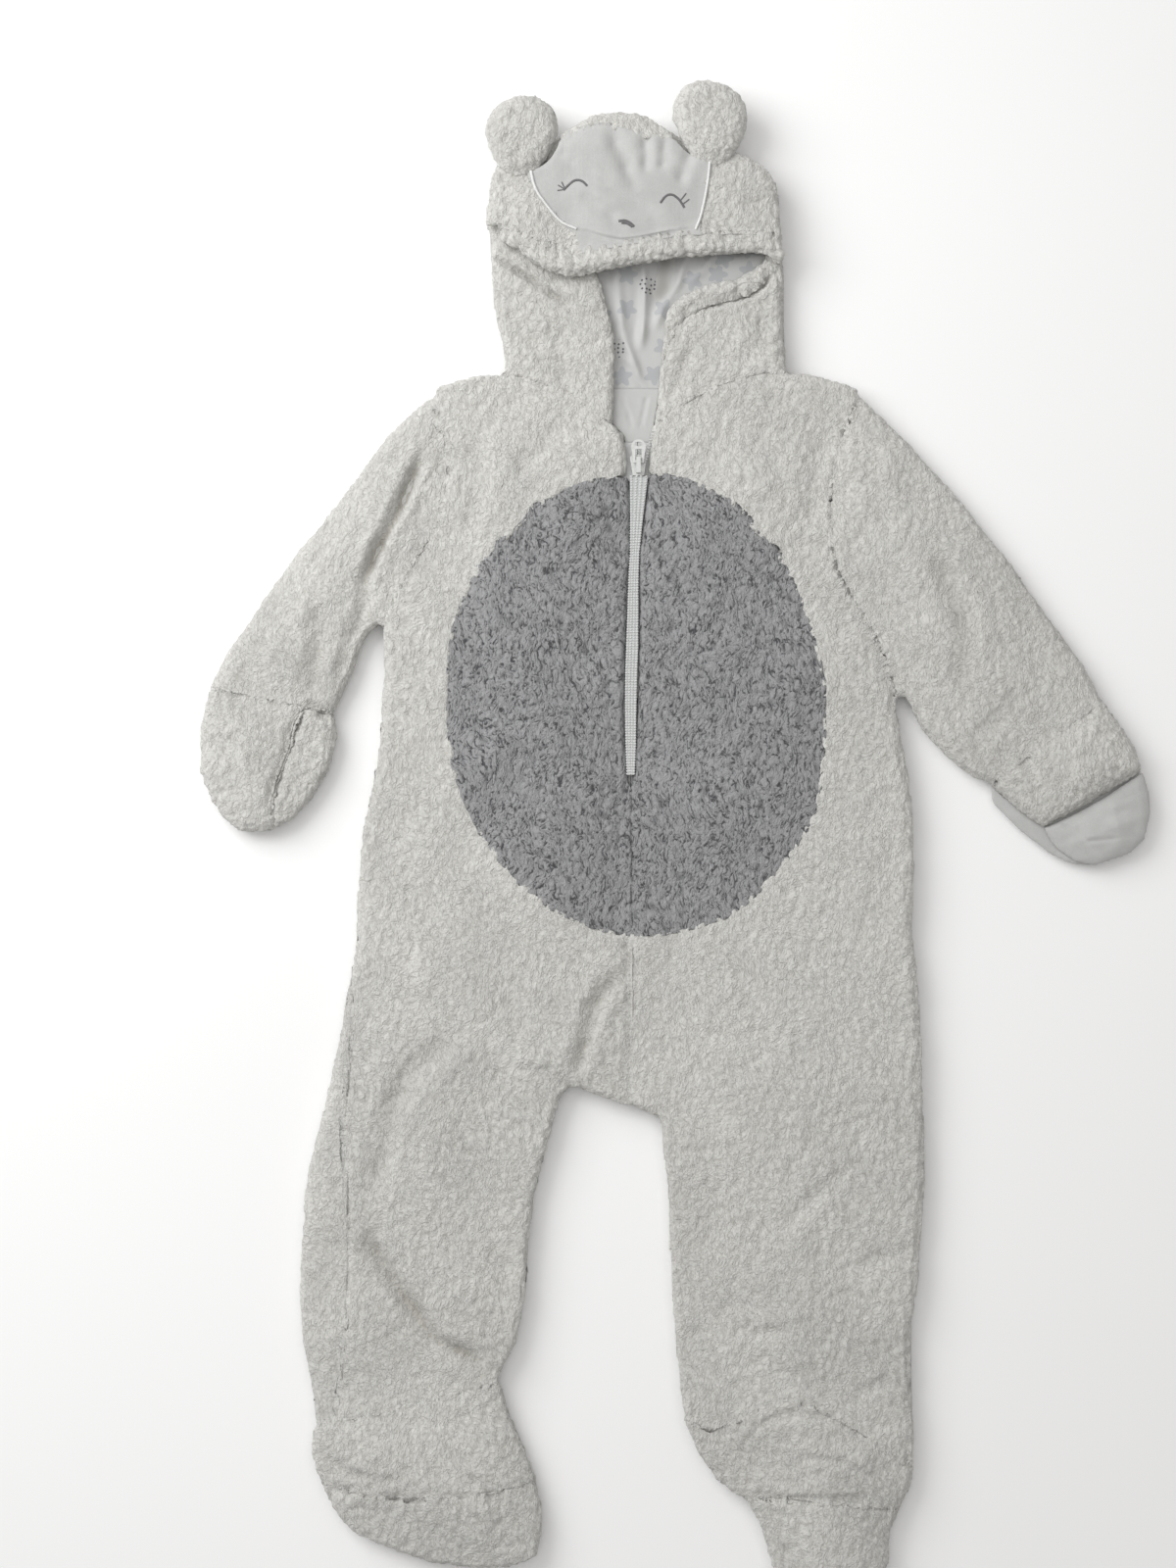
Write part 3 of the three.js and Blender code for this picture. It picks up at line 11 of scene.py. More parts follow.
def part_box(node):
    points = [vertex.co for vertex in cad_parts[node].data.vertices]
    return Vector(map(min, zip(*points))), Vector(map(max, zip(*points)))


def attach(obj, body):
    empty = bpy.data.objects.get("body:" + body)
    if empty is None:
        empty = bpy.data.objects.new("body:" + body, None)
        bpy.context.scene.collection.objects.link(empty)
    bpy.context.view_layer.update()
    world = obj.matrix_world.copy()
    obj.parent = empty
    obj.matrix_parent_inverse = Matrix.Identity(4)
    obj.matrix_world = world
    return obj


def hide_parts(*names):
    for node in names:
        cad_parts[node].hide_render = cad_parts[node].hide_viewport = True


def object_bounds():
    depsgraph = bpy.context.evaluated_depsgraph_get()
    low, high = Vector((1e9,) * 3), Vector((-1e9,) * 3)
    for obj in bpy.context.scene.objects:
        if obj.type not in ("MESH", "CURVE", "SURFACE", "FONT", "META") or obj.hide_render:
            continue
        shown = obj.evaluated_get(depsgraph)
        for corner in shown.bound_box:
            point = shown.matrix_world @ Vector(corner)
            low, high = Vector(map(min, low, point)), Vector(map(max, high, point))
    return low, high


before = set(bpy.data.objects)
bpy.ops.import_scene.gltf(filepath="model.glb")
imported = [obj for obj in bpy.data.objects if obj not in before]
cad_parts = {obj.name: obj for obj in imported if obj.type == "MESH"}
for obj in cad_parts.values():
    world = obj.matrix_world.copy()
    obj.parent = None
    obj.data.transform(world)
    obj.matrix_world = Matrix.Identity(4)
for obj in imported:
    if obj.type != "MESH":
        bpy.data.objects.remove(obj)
cad_low, cad_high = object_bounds()

MM = 0.001
BODY = "suit"

# Colours in linear light
CREAM_TIP = (0.640, 0.635, 0.605)
# Painted shade for the crevices between the cream tufts
CREAM_CREVICE_SHADE = (0.50, 0.49, 0.455)
GREY_TIP = (0.345, 0.346, 0.353)
# Painted shade for the crevices between the grey tufts
GREY_CREVICE_SHADE = (0.062, 0.062, 0.066)
# Painted shade: the tone multiplied into the cloth's colour down the deeper creases and in the lining's hollow
FOLD_SHADE_TINT = (0.64, 0.615, 0.58)
VELOUR = (0.53, 0.53, 0.52)
JERSEY = (0.60, 0.60, 0.59)
PRINT_GREY = (0.455, 0.465, 0.475)
PRINT_DARK = (0.12, 0.12, 0.13)
ZIP_WHITE = (0.86, 0.87, 0.86)
ZIP_GROUND = (0.70, 0.72, 0.71)
THREAD_WHITE = (0.90, 0.90, 0.89)
THREAD_GREY = (0.17, 0.165, 0.17)
ENAMEL = (0.66, 0.67, 0.65)


# Building node trees


def put(tree, kind, inputs=None, **settings):
    """Adds a node. Each input is a number, a colour, or another node's socket to be joined to it."""
    made = tree.nodes.new(kind)
    for name, value in settings.items():
        setattr(made, name, value)
    for key, value in (inputs or {}).items():
        if isinstance(value, bpy.types.NodeSocket):
            tree.links.new(value, made.inputs[key])
        else:
            made.inputs[key].default_value = value
    return made


def sum_of(tree, operation, first, second=0.0, third=0.0, clamp=False):
    """The output of one Math node."""
    made = put(tree, "ShaderNodeMath", {0: first, 1: second, 2: third}, operation=operation, use_clamp=clamp)
    return made.outputs[0]


def vector_of(tree, operation, first, second=(0.0, 0.0, 0.0)):
    """The vector output of one Vector Math node."""
    made = put(tree, "ShaderNodeVectorMath", {0: first, 1: second}, operation=operation)
    return made.outputs[0]


def scaled(tree, vector, by):
    """A vector times a number."""
    return put(tree, "ShaderNodeVectorMath", {0: vector, "Scale": by}, operation="SCALE").outputs[0]


def blend_of(tree, share, first, second):
    """A mix of two colours."""
    made = put(tree, "ShaderNodeMix", data_type="RGBA")
    for index, value in ((0, share), (6, first), (7, second)):
        if isinstance(value, bpy.types.NodeSocket):
            tree.links.new(value, made.inputs[index])
        else:
            made.inputs[index].default_value = value if index == 0 else (*value, 1.0)
    return made.outputs[2]


def step_of(tree, value, low, high, start=0.0, end=1.0):
    """A smooth step from start to end as the value goes from low to high."""
    keys = {"Value": value, "From Min": low, "From Max": high, "To Min": start, "To Max": end}
    return put(tree, "ShaderNodeMapRange", keys, interpolation_type="SMOOTHSTEP").outputs[0]


def tufts_of(tree, place, across, along):
    """Tufts that lie down the cloth and lean by turns to either side: where each point is in the stretched grid of
    the tufts, and the height there, from 0 in the broken crevices to 1 on the tufts."""
    bend = put(tree, "ShaderNodeTexNoise", {"Vector": place, "Scale": 24.0, "Detail": 1.0}).outputs["Color"]
    loose = put(tree, "ShaderNodeTexNoise", {"Vector": place, "Scale": 0.4 / across, "Detail": 2.0}).outputs["Color"]
    bent = scaled(tree, vector_of(tree, "SUBTRACT", bend, (0.5, 0.5, 0.5)), 24 * MM)
    away = scaled(tree, vector_of(tree, "SUBTRACT", loose, (0.5, 0.5, 0.5)), 2.6 * across)
    moved = vector_of(tree, "ADD", vector_of(tree, "ADD", place, bent), away)
    laid = vector_of(tree, "MULTIPLY", moved, (1.0 / across, 1.0 / along, 1.0 / across))
    edges = put(tree, "ShaderNodeTexVoronoi", {"Vector": laid, "Scale": 0.85}, feature="DISTANCE_TO_EDGE")
    cells = step_of(tree, edges.outputs["Distance"], 0.0, 0.30)
    keys = {"Vector": laid, "Scale": 0.95, "Detail": 3.0, "Roughness": 0.6, "Distortion": 0.9}
    streaks = step_of(tree, put(tree, "ShaderNodeTexNoise", keys).outputs["Fac"], 0.32, 0.66)
    return laid, sum_of(tree, "MULTIPLY_ADD", cells, 0.38, sum_of(tree, "MULTIPLY", streaks, 0.62))


# Finishes


def new_finish(name, roughness, sheen=0.0, sheen_roughness=0.5, specular=0.3):
    """A material with its shader's own numbers set, and the tree and the shader to build on."""
    made = bpy.data.materials.new(name)
    made.use_nodes = True
    tree = made.node_tree
    shader = tree.nodes["Principled BSDF"]
    shader.inputs["Roughness"].default_value = roughness
    shader.inputs["Sheen Weight"].default_value = sheen
    shader.inputs["Sheen Roughness"].default_value = sheen_roughness
    shader.inputs["Specular IOR Level"].default_value = specular
    return made, tree, shader


def object_place(tree):
    return put(tree, "ShaderNodeTexCoord").outputs["Object"]


def lift(tree, shader, height, distance, strength=1.0):
    """Joins a height to the shader's normal."""
    keys = {"Height": height, "Distance": distance, "Strength": strength}
    tree.links.new(put(tree, "ShaderNodeBump", keys).outputs[0], shader.inputs["Normal"])


def pile_finish(name, tip, crevice_shade, sheen, open_at, across, along, relief):
    """Curly pile: pale tufts, painted shade in the crevices between them and down the deeper creases, fine fibres and
    a slow change of tone over the cloth.
    """
    made, tree, shader = new_finish(name, 0.95, sheen, 0.6, 0.12)
    place = object_place(tree)
    depth = put(tree, "ShaderNodeAttribute", attribute_name="pile").outputs["Fac"]
    laid, tufts = tufts_of(tree, place, across, along)
    keys = {"Vector": laid, "Scale": 4.5, "Detail": 2.0, "Roughness": 0.6, "Distortion": 0.8}
    fibre = put(tree, "ShaderNodeTexNoise", keys).outputs["Fac"]
    ragged = sum_of(tree, "MULTIPLY_ADD", sum_of(tree, "SUBTRACT", fibre, 0.5), 0.5, tufts)
    # Painted shade: the colour goes to the crevice colour in the low parts of the pile and between the tufts
    open_part = sum_of(tree, "MULTIPLY", step_of(tree, ragged, 0.0, open_at), step_of(tree, depth, -0.6, 0.6))
    tone = blend_of(tree, open_part, crevice_shade, tip)
    slow = put(tree, "ShaderNodeTexNoise", {"Vector": place, "Scale": 26.0, "Detail": 3.0}).outputs["Fac"]
    patch = step_of(tree, slow, 0.3, 0.7, 0.94, 1.03)
    speck = sum_of(tree, "MULTIPLY", patch, step_of(tree, fibre, 0.3, 0.7, 0.93, 1.06))
    # Painted shade: the colour is multiplied by the crease shade tone where the creases are deep
    painted_fold_shade = put(tree, "ShaderNodeAttribute", attribute_name="painted_fold_shade").outputs["Fac"]
    shaded = vector_of(tree, "MULTIPLY", tone, FOLD_SHADE_TINT)
    tree.links.new(scaled(tree, blend_of(tree, painted_fold_shade, tone, shaded), speck), shader.inputs["Base Color"])
    height = sum_of(tree, "MULTIPLY_ADD", fibre, 0.3, tufts)
    lift(tree, shader, height, relief, 1.0)
    return made


def velour_finish(name, colour):
    """Short smooth velour with soft brushed patches."""
    made, tree, shader = new_finish(name, 0.85, 0.35, 0.45, 0.15)
    place = object_place(tree)
    nap = put(tree, "ShaderNodeTexNoise", {"Vector": place, "Scale": 2200.0, "Detail": 2.0}).outputs["Fac"]
    keys = {"Vector": place, "Scale": 70.0, "Detail": 4.0, "Distortion": 0.6}
    brushed = put(tree, "ShaderNodeTexNoise", keys).outputs["Fac"]
    tone = sum_of(tree, "MULTIPLY", step_of(tree, brushed, 0.3, 0.7, 0.93, 1.03),
                  step_of(tree, nap, 0.3, 0.7, 0.94, 1.04))
    tree.links.new(scaled(tree, rgb(tree, colour), tone), shader.inputs["Base Color"])
    lift(tree, shader, sum_of(tree, "MULTIPLY_ADD", brushed, 1.6, nap), 0.3 * MM, 0.6)
    return made


def rgb(tree, colour):
    """A fixed colour as a socket."""
    made = put(tree, "ShaderNodeRGB")
    made.outputs[0].default_value = (*colour, 1.0)
    return made.outputs[0]


def knit(tree, place, pitch):
    """The fine ribs of a jersey knit, as a height."""
    keys = {"Vector": place, "Scale": 0.5 / pitch, "Distortion": 0.4, "Detail": 1.0}
    ribs = put(tree, "ShaderNodeTexWave", keys, wave_type="BANDS", bands_direction="X")
    keys = {"Vector": place, "Scale": 0.35 / pitch, "Distortion": 0.4, "Detail": 1.0}
    rows = put(tree, "ShaderNodeTexWave", keys, wave_type="BANDS", bands_direction="Y")
    return sum_of(tree, "MULTIPLY", ribs.outputs["Fac"], rows.outputs["Fac"])


def jersey_finish(name, colour, printed):
    """Cotton jersey, plain or with a small all-over print of pale grey stars and clusters of dots; the printed one
    also gets painted shade in its hollow and creases.
    """
    made, tree, shader = new_finish(name, 0.8, 0.2, 0.5, 0.2)
    place = object_place(tree)
    loops = knit(tree, place, 0.45 * MM)
    tone = scaled(tree, rgb(tree, colour), step_of(tree, loops, 0.0, 1.0, 0.93, 1.02))
    if printed:
        flat = vector_of(tree, "MULTIPLY", place, (1.0, 1.0, 0.0))
        sky = put(tree, "ShaderNodeTexVoronoi", {"Vector": flat, "Scale": 58.0, "Randomness": 0.6},
                  voronoi_dimensions="2D")
        offset = put(tree, "ShaderNodeSeparateXYZ",
                     {0: vector_of(tree, "SUBTRACT", flat, sky.outputs["Position"])})
        turn = put(tree, "ShaderNodeSeparateColor", {0: sky.outputs["Color"]})
        angle = sum_of(tree, "ARCTAN2", offset.outputs["Y"], offset.outputs["X"])
        spin = sum_of(tree, "MULTIPLY_ADD", turn.outputs["Green"], 6.28, angle)
        points = sum_of(tree, "COSINE", sum_of(tree, "MULTIPLY", spin, 5.0))
        edge = sum_of(tree, "MULTIPLY_ADD", points, 0.07, 0.27)
        inside = sum_of(tree, "LESS_THAN", sky.outputs["Distance"], edge)
        picked = sum_of(tree, "GREATER_THAN", turn.outputs["Red"], 0.42)
        stars = sum_of(tree, "MULTIPLY", inside, picked)
        tone = blend_of(tree, stars, tone, PRINT_GREY)
        dots = put(tree, "ShaderNodeTexVoronoi", {"Vector": flat, "Scale": 400.0, "Randomness": 0.4},
                   voronoi_dimensions="2D")
        dot = sum_of(tree, "LESS_THAN", dots.outputs["Distance"], 0.23)
        near = sum_of(tree, "LESS_THAN", sky.outputs["Distance"], 0.30)
        few = sum_of(tree, "LESS_THAN", turn.outputs["Red"], 0.34)
        cluster = sum_of(tree, "MULTIPLY", dot, sum_of(tree, "MULTIPLY", near, few))
        tone = blend_of(tree, cluster, tone, PRINT_DARK)
        # Painted shade: the lining's hollow and creases are darkened by the crease shade tone
        painted_fold_shade = put(tree, "ShaderNodeAttribute", attribute_name="painted_fold_shade").outputs["Fac"]
        hollow_shade = step_of(tree, painted_fold_shade, 0.0, 0.30, 0.0, 0.8)
        tone = blend_of(tree, hollow_shade, tone, vector_of(tree, "MULTIPLY", tone, FOLD_SHADE_TINT))
    tree.links.new(tone, shader.inputs["Base Color"])
    lift(tree, shader, loops, 0.15 * MM, 0.6)
    return made


def tape_finish(name, colour):
    """Woven zip tape with fine ribs along it."""
    made, tree, shader = new_finish(name, 0.7, 0.15, 0.4, 0.3)
    place = object_place(tree)
    loops = knit(tree, place, 0.7 * MM)
    tree.links.new(scaled(tree, rgb(tree, colour), step_of(tree, loops, 0.0, 1.0, 0.80, 1.0)),
                   shader.inputs["Base Color"])
    lift(tree, shader, loops, 0.25 * MM, 0.8)
    return made


def enamel_finish(name, colour):
    """White baked paint on a die-cast zip part, a little worn to duller spots."""
    made, tree, shader = new_finish(name, 0.32, specular=0.5)
    place = object_place(tree)
    worn = put(tree, "ShaderNodeTexNoise", {"Vector": place, "Scale": 700.0, "Detail": 3.0}).outputs["Fac"]
    tree.links.new(scaled(tree, rgb(tree, colour), step_of(tree, worn, 0.3, 0.7, 0.88, 1.0)),
                   shader.inputs["Base Color"])
    tree.links.new(step_of(tree, worn, 0.3, 0.7, 0.25, 0.45), shader.inputs["Roughness"])
    lift(tree, shader, worn, 0.05 * MM, 0.4)
    return made


def thread_finish(name, colour, gloss):
    """Embroidery thread, with fine twist."""
    made, tree, shader = new_finish(name, gloss, 0.25, 0.3, 0.4)
    place = object_place(tree)
    keys = {"Vector": place, "Scale": 3500.0, "Detail": 2.0}
    twist = put(tree, "ShaderNodeTexNoise", keys).outputs["Fac"]
    tree.links.new(scaled(tree, rgb(tree, colour), step_of(tree, twist, 0.3, 0.7, 0.85, 1.05)),
                   shader.inputs["Base Color"])
    lift(tree, shader, twist, 0.1 * MM, 0.6)
    return made


cream_pile = pile_finish("cream_pile", CREAM_TIP, CREAM_CREVICE_SHADE, 0.35, 0.55, 1.8 * MM, 3.0 * MM, 0.55 * MM)
grey_pile = pile_finish("grey_pile", GREY_TIP, GREY_CREVICE_SHADE, 0.25, 0.50, 2.0 * MM, 4.8 * MM, 0.80 * MM)
white_velour = velour_finish("white_velour", VELOUR)
star_jersey = jersey_finish("star_jersey", JERSEY, True)
white_jersey = jersey_finish("white_jersey", JERSEY, False)
zip_weave = tape_finish("zip_weave", ZIP_WHITE)
zip_ground = tape_finish("zip_ground", ZIP_GROUND)
zip_enamel = enamel_finish("zip_enamel", ENAMEL)
white_thread = thread_finish("white_thread", THREAD_WHITE, 0.4)
grey_thread = thread_finish("grey_thread", THREAD_GREY, 0.5)


# Geometry trees


def new_geometry_tree(name, numbers):
    """A geometry tree with a Geometry input, the named number inputs and a Finish input."""
    tree = bpy.data.node_groups.new(name, "GeometryNodeTree")
    sockets = tree.interface
    sockets.new_socket("Geometry", in_out="INPUT", socket_type="NodeSocketGeometry")
    for word, value in numbers:
        sockets.new_socket(word, in_out="INPUT", socket_type="NodeSocketFloat").default_value = value
    sockets.new_socket("Finish", in_out="INPUT", socket_type="NodeSocketMaterial")
    sockets.new_socket("Geometry", in_out="OUTPUT", socket_type="NodeSocketGeometry")
    source = tree.nodes.new("NodeGroupInput").outputs
    return tree, source


def close_tree(tree, source, shape):
    """Ends a tree in real geometry with its finish on it."""
    real = put(tree, "GeometryNodeRealizeInstances", {0: shape})
    painted = put(tree, "GeometryNodeSetMaterial", {"Geometry": real.outputs[0], "Material": source["Finish"]})
    end = tree.nodes.new("NodeGroupOutput")
    tree.links.new(painted.outputs[0], end.inputs[0])


def make_pile_tree():
    """Curly pile: the cloth's outside is raised into curls and lies in slow swells."""
    numbers = (
        ("Curl size", 3.3 * MM),
        ("Pile depth", 1.5 * MM),
        ("Curl pull", 3.0 * MM),
        ("Proud", 0.4 * MM),
        ("Swell size", 38 * MM),
        ("Swell height", 1.0 * MM),
    )
    tree, source = new_geometry_tree("Curly pile", numbers)
    place = put(tree, "GeometryNodeInputPosition").outputs[0]
    loose = put(tree, "ShaderNodeTexNoise", {
        "Vector": place,
        "Scale": sum_of(tree, "DIVIDE", 0.45, source["Curl size"]),
        "Detail": 1.0,
    })
    away = vector_of(tree, "SUBTRACT", loose.outputs["Color"], (0.5, 0.5, 0.5))
    moved = vector_of(tree, "ADD", place, scaled(tree, away, source["Curl pull"]))
    laid = vector_of(tree, "MULTIPLY", moved, (1.0, 0.6, 1.0))
    grain = sum_of(tree, "DIVIDE", 1.0, source["Curl size"])
    cells = put(tree, "ShaderNodeTexVoronoi", {"Vector": laid, "Scale": grain}, feature="F1")
    near = sum_of(tree, "POWER", cells.outputs["Distance"], 1.7)
    pile = sum_of(tree, "SUBTRACT", 1.0, sum_of(tree, "MULTIPLY", near, 1.2), clamp=True)
    slow = put(tree, "ShaderNodeTexNoise", {
        "Vector": place,
        "Scale": sum_of(tree, "DIVIDE", 1.0, source["Swell size"]),
        "Detail": 1.0,
    })
    swell = sum_of(tree, "MULTIPLY", sum_of(tree, "SUBTRACT", slow.outputs["Fac"], 0.55), source["Swell height"])
    sunk = sum_of(tree, "MULTIPLY", sum_of(tree, "SUBTRACT", pile, 1.0), source["Pile depth"])
    high = sum_of(tree, "ADD", sum_of(tree, "ADD", sunk, source["Proud"]), sum_of(tree, "MULTIPLY", swell, 2.0))
    reach = put(tree, "GeometryNodeInputNamedAttribute", {"Name": "reach"}, data_type="FLOAT").outputs[0]
    amount = sum_of(tree, "MULTIPLY", high, reach)
    normal = put(tree, "GeometryNodeInputNormal").outputs[0]
    raised = put(tree, "GeometryNodeSetPosition", {
        "Geometry": source["Geometry"],
        "Offset": scaled(tree, normal, amount),
    })
    kept = put(tree, "GeometryNodeStoreNamedAttribute", {
        "Geometry": raised.outputs[0],
        "Name": "pile",
        "Value": pile,
    }, data_type="FLOAT", domain="POINT")
    close_tree(tree, source, kept.outputs[0])
    return tree


def make_stitch_tree():
    """A row of stitches across a path, each a slim rounded bar."""
    numbers = (
        ("Spacing", 0.5 * MM),
        ("Stitch length", 2.5 * MM),
        ("Stitch width", 0.5 * MM),
        ("Stitch height", 0.4 * MM),
        ("Slant", 0.0),
        ("Uneven", 0.1),
    )
    tree, source = new_geometry_tree("Stitch row", numbers)
    path = put(tree, "GeometryNodeMeshToCurve", {0: source["Geometry"]})
    spread = put(tree, "GeometryNodeResampleCurve", {"Curve": path.outputs[0], "Length": source["Spacing"]},
                 mode="LENGTH")
    bar = put(tree, "GeometryNodeMeshUVSphere", {"Segments": 6, "Rings": 4, "Radius": 0.5})
    along = put(tree, "GeometryNodeInputTangent").outputs[0]
    facing = put(tree, "FunctionNodeAlignRotationToVector", {"Vector": along}, axis="X", pivot_axis="Z")
    jitter = put(tree, "FunctionNodeRandomValue", {"Min": -1.0, "Max": 1.0, "Seed": 4}, data_type="FLOAT")
    uneven = sum_of(tree, "MULTIPLY", jitter.outputs[1], source["Uneven"])
    lean = sum_of(tree, "ADD", source["Slant"], uneven)
    tilt = put(tree, "ShaderNodeCombineXYZ", {2: lean})
    turned = put(tree, "FunctionNodeRotateRotation", {0: facing.outputs[0], 1: tilt.outputs[0]},
                 rotation_space="LOCAL")
    length = sum_of(tree, "MULTIPLY", source["Stitch length"], sum_of(tree, "ADD", 1.0, uneven))
    size = put(tree, "ShaderNodeCombineXYZ", {0: source["Stitch width"], 1: length, 2: source["Stitch height"]})
    row = put(tree, "GeometryNodeInstanceOnPoints", {
        "Points": spread.outputs[0],
        "Instance": bar.outputs[0],
        "Rotation": turned.outputs[0],
        "Scale": size.outputs[0],
    })
    close_tree(tree, source, row.outputs[0])
    return tree


pile_tree = make_pile_tree()
stitch_tree = make_stitch_tree()


def plain_mesh(thing):
    """Swaps an object's mesh for its evaluated one and takes its modifiers off."""
    bpy.context.view_layer.update()
    shaped = thing.evaluated_get(bpy.context.evaluated_depsgraph_get())
    made = bpy.data.meshes.new_from_object(shaped)
    thing.modifiers.clear()
    old = thing.data
    thing.data = made
    bpy.data.meshes.remove(old)


def grow(thing, tree, finish, **numbers):
    """Runs a geometry tree on an object and keeps the result as its plain mesh."""
    made = thing.modifiers.new(tree.name, "NODES")
    made.node_group = tree
    for item in tree.interface.items_tree:
        if item.in_out == "INPUT" and item.name == "Finish":
            made[item.identifier] = finish
        elif item.in_out == "INPUT" and item.name in numbers:
            made[item.identifier] = float(numbers[item.name])
    plain_mesh(thing)


# Mesh helpers


def new_object(name, mesh):
    thing = bpy.data.objects.new(name, mesh)
    bpy.context.scene.collection.objects.link(thing)
    return thing


def points_of(mesh):
    flat = np.empty(len(mesh.vertices) * 3)
    mesh.vertices.foreach_get("co", flat)
    return flat.reshape(-1, 3)


def place_points(mesh, points):
    mesh.vertices.foreach_set("co", points.ravel())
    mesh.update()


def normals_of(mesh):
    flat = np.empty(len(mesh.vertices) * 3)
    mesh.vertex_normals.foreach_get("vector", flat)
    return flat.reshape(-1, 3)


def edge_ends(mesh):
    """The two points of each edge, as two rows of numbers."""
    pairs = np.empty(len(mesh.edges) * 2, dtype=np.int64)
    mesh.edges.foreach_get("vertices", pairs)
    return pairs.reshape(-1, 2).T


def sum_around(ends, values):
    """For each point, the sum of a value over its neighbours."""
    first, second = ends
    count = len(values)
    return np.bincount(first, values[second], count) + np.bincount(second, values[first], count)


def relax(mesh, rounds):
    """Evens out a mesh without shrinking it much."""
    ends = edge_ends(mesh)
    points = points_of(mesh)
    around = sum_around(ends, np.ones(len(points)))
    for share in (0.55, -0.57) * rounds:
        for axis in range(3):
            line = points[:, axis]
            points[:, axis] = line + share * (sum_around(ends, line) / around - line)
    place_points(mesh, points)


def outside(points, normals, side, middle):
    """Which points are on the face of the cloth that shows."""
    if side == "top":
        return normals[:, 2] > -0.35
    if side == "under":
        return normals[:, 2] < 0.35
    upper = (normals[:, 2] > -0.3) & (points[:, 2] >= middle)
    lower = (normals[:, 2] < 0.3) & (points[:, 2] < middle)
    return upper | lower


def from_path(points, path):
    """Each point's distance from a path, the share of the way along it and the side it is on."""
    path = np.array(path)
    steps = np.diff(path, axis=0)
    lengths = np.hypot(steps[:, 0], steps[:, 1])
    starts = np.concatenate(([0.0], np.cumsum(lengths)[:-1]))
    best = np.full(len(points), 1e9)
    share = np.zeros(len(points))
    side = np.zeros(len(points))
    for start, step, length, done in zip(path[:-1], steps, lengths, starts):
        gap = points[:, :2] - start
        along = np.clip((gap @ step) / length**2, 0.0, 1.0)
        off = gap - along[:, None] * step
        distance = np.hypot(off[:, 0], off[:, 1])
        nearer = distance < best
        best = np.where(nearer, distance, best)
        share = np.where(nearer, (done + along * length) / lengths.sum(), share)
        side = np.where(nearer, np.sign(step[0] * gap[:, 1] - step[1] * gap[:, 0]), side)
    return best, share, side


def press(mesh, rows, upward):
    """Presses creases and lifts folds, each by its own path, width, depth and the height of the roll on its left, and
    stores painted shade down the middle of the deeper creases.
    """
    points = points_of(mesh)
    normals = normals_of(mesh)
    facing = np.clip(normals[:, 2] * upward, 0.0, 1.0)
    painted_fold_shade = np.zeros(len(points), dtype=np.float32)
    for path, width, depth, roll in rows:
        path = np.array(path) * MM
        width *= MM
        low = path.min(axis=0) - 4 * width
        high = path.max(axis=0) + 4 * width
        close = np.all((points[:, :2] > low) & (points[:, :2] < high), axis=1)
        if not close.any():
            continue
        distance, share, side = from_path(points[close], path)
        waver = 0.82 + 0.18 * np.sin(share * 17.0 + path[0, 0] * 900.0)
        fade = np.clip(np.minimum(share, 1.0 - share) / 0.22, 0.0, 1.0)
        fade = fade * fade * (3.0 - 2.0 * fade) * waver
        trough = -depth * np.exp(-((distance / width) ** 2))
        shoulder = roll * np.exp(-(((distance * side - 1.5 * width) / (1.05 * width)) ** 2))
        other = 0.25 * depth * np.exp(-(((distance * side + 1.9 * width) / (1.2 * width)) ** 2))
        points[close, 2] += upward * MM * fade * (trough + shoulder + other) * facing[close]
        # Painted shade: darker down the middle of creases deeper than 1.6 mm, kept as a point attribute for the
        # finishes
        crease_shade = fade * np.exp(-((distance / (0.75 * width)) ** 2)) * np.clip((depth - 1.6) / 3.6, 0.0, 1.0)
        painted_fold_shade[close] = np.maximum(painted_fold_shade[close], crease_shade)
    place_points(mesh, points)
    mesh.attributes.new("painted_fold_shade", "FLOAT", "POINT").data.foreach_set("value", painted_fold_shade)


def evenly_meshed(node, voxel, side, middle, fine):
    """A copy of a node's solid in even quads, twice as fine on the face that shows where fine is true."""
    thing = new_object(node + "_cloth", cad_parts[node].data.copy())
    work = bmesh.new()
    work.from_mesh(thing.data)
    bmesh.ops.remove_doubles(work, verts=work.verts, dist=1e-6)
    work.to_mesh(thing.data)
    work.free()
    remesh = thing.modifiers.new("Even mesh", "REMESH")
    remesh.mode = "VOXEL"
    remesh.voxel_size = voxel * MM
    remesh.adaptivity = 0.0
    plain_mesh(thing)
    relax(thing.data, 2)
    if fine:
        mesh = thing.data
        shown = outside(points_of(mesh), normals_of(mesh), side, middle * MM)
        work = bmesh.new()
        work.from_mesh(mesh)
        work.verts.ensure_lookup_table()
        edges = [e for e in work.edges if shown[e.verts[0].index] and shown[e.verts[1].index]]
        bmesh.ops.subdivide_edges(work, edges=edges, cuts=1, use_grid_fill=True)
        work.to_mesh(mesh)
        work.free()
        relax(mesh, 2)
    return thing


def smooth_shaded(mesh):
    mesh.polygons.foreach_set("use_smooth", [True] * len(mesh.polygons))
    mesh.update()


pieces = {}
plans = {}


def settle(thing, nodes):
    """Joins a finished piece to the body and hides the nodes it stands for."""
    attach(thing, BODY)
    if nodes:
        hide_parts(*nodes)


def hollow_out(thing, node, wall):
    """Gives a flattened tube its inside, one wall's thickness in from its solid."""
    inner = evenly_meshed(node, 3.6, "top", 0.0, False)
    points = points_of(inner.data) - normals_of(inner.data) * wall * MM
    place_points(inner.data, points)
    relax(inner.data, 6)
    work = bmesh.new()
    work.from_mesh(inner.data)
    bmesh.ops.reverse_faces(work, faces=work.faces)
    work.to_mesh(inner.data)
    work.free()
    work = bmesh.new()
    work.from_mesh(thing.data)
    work.from_mesh(inner.data)
    work.to_mesh(thing.data)
    work.free()
    bpy.data.objects.remove(inner)


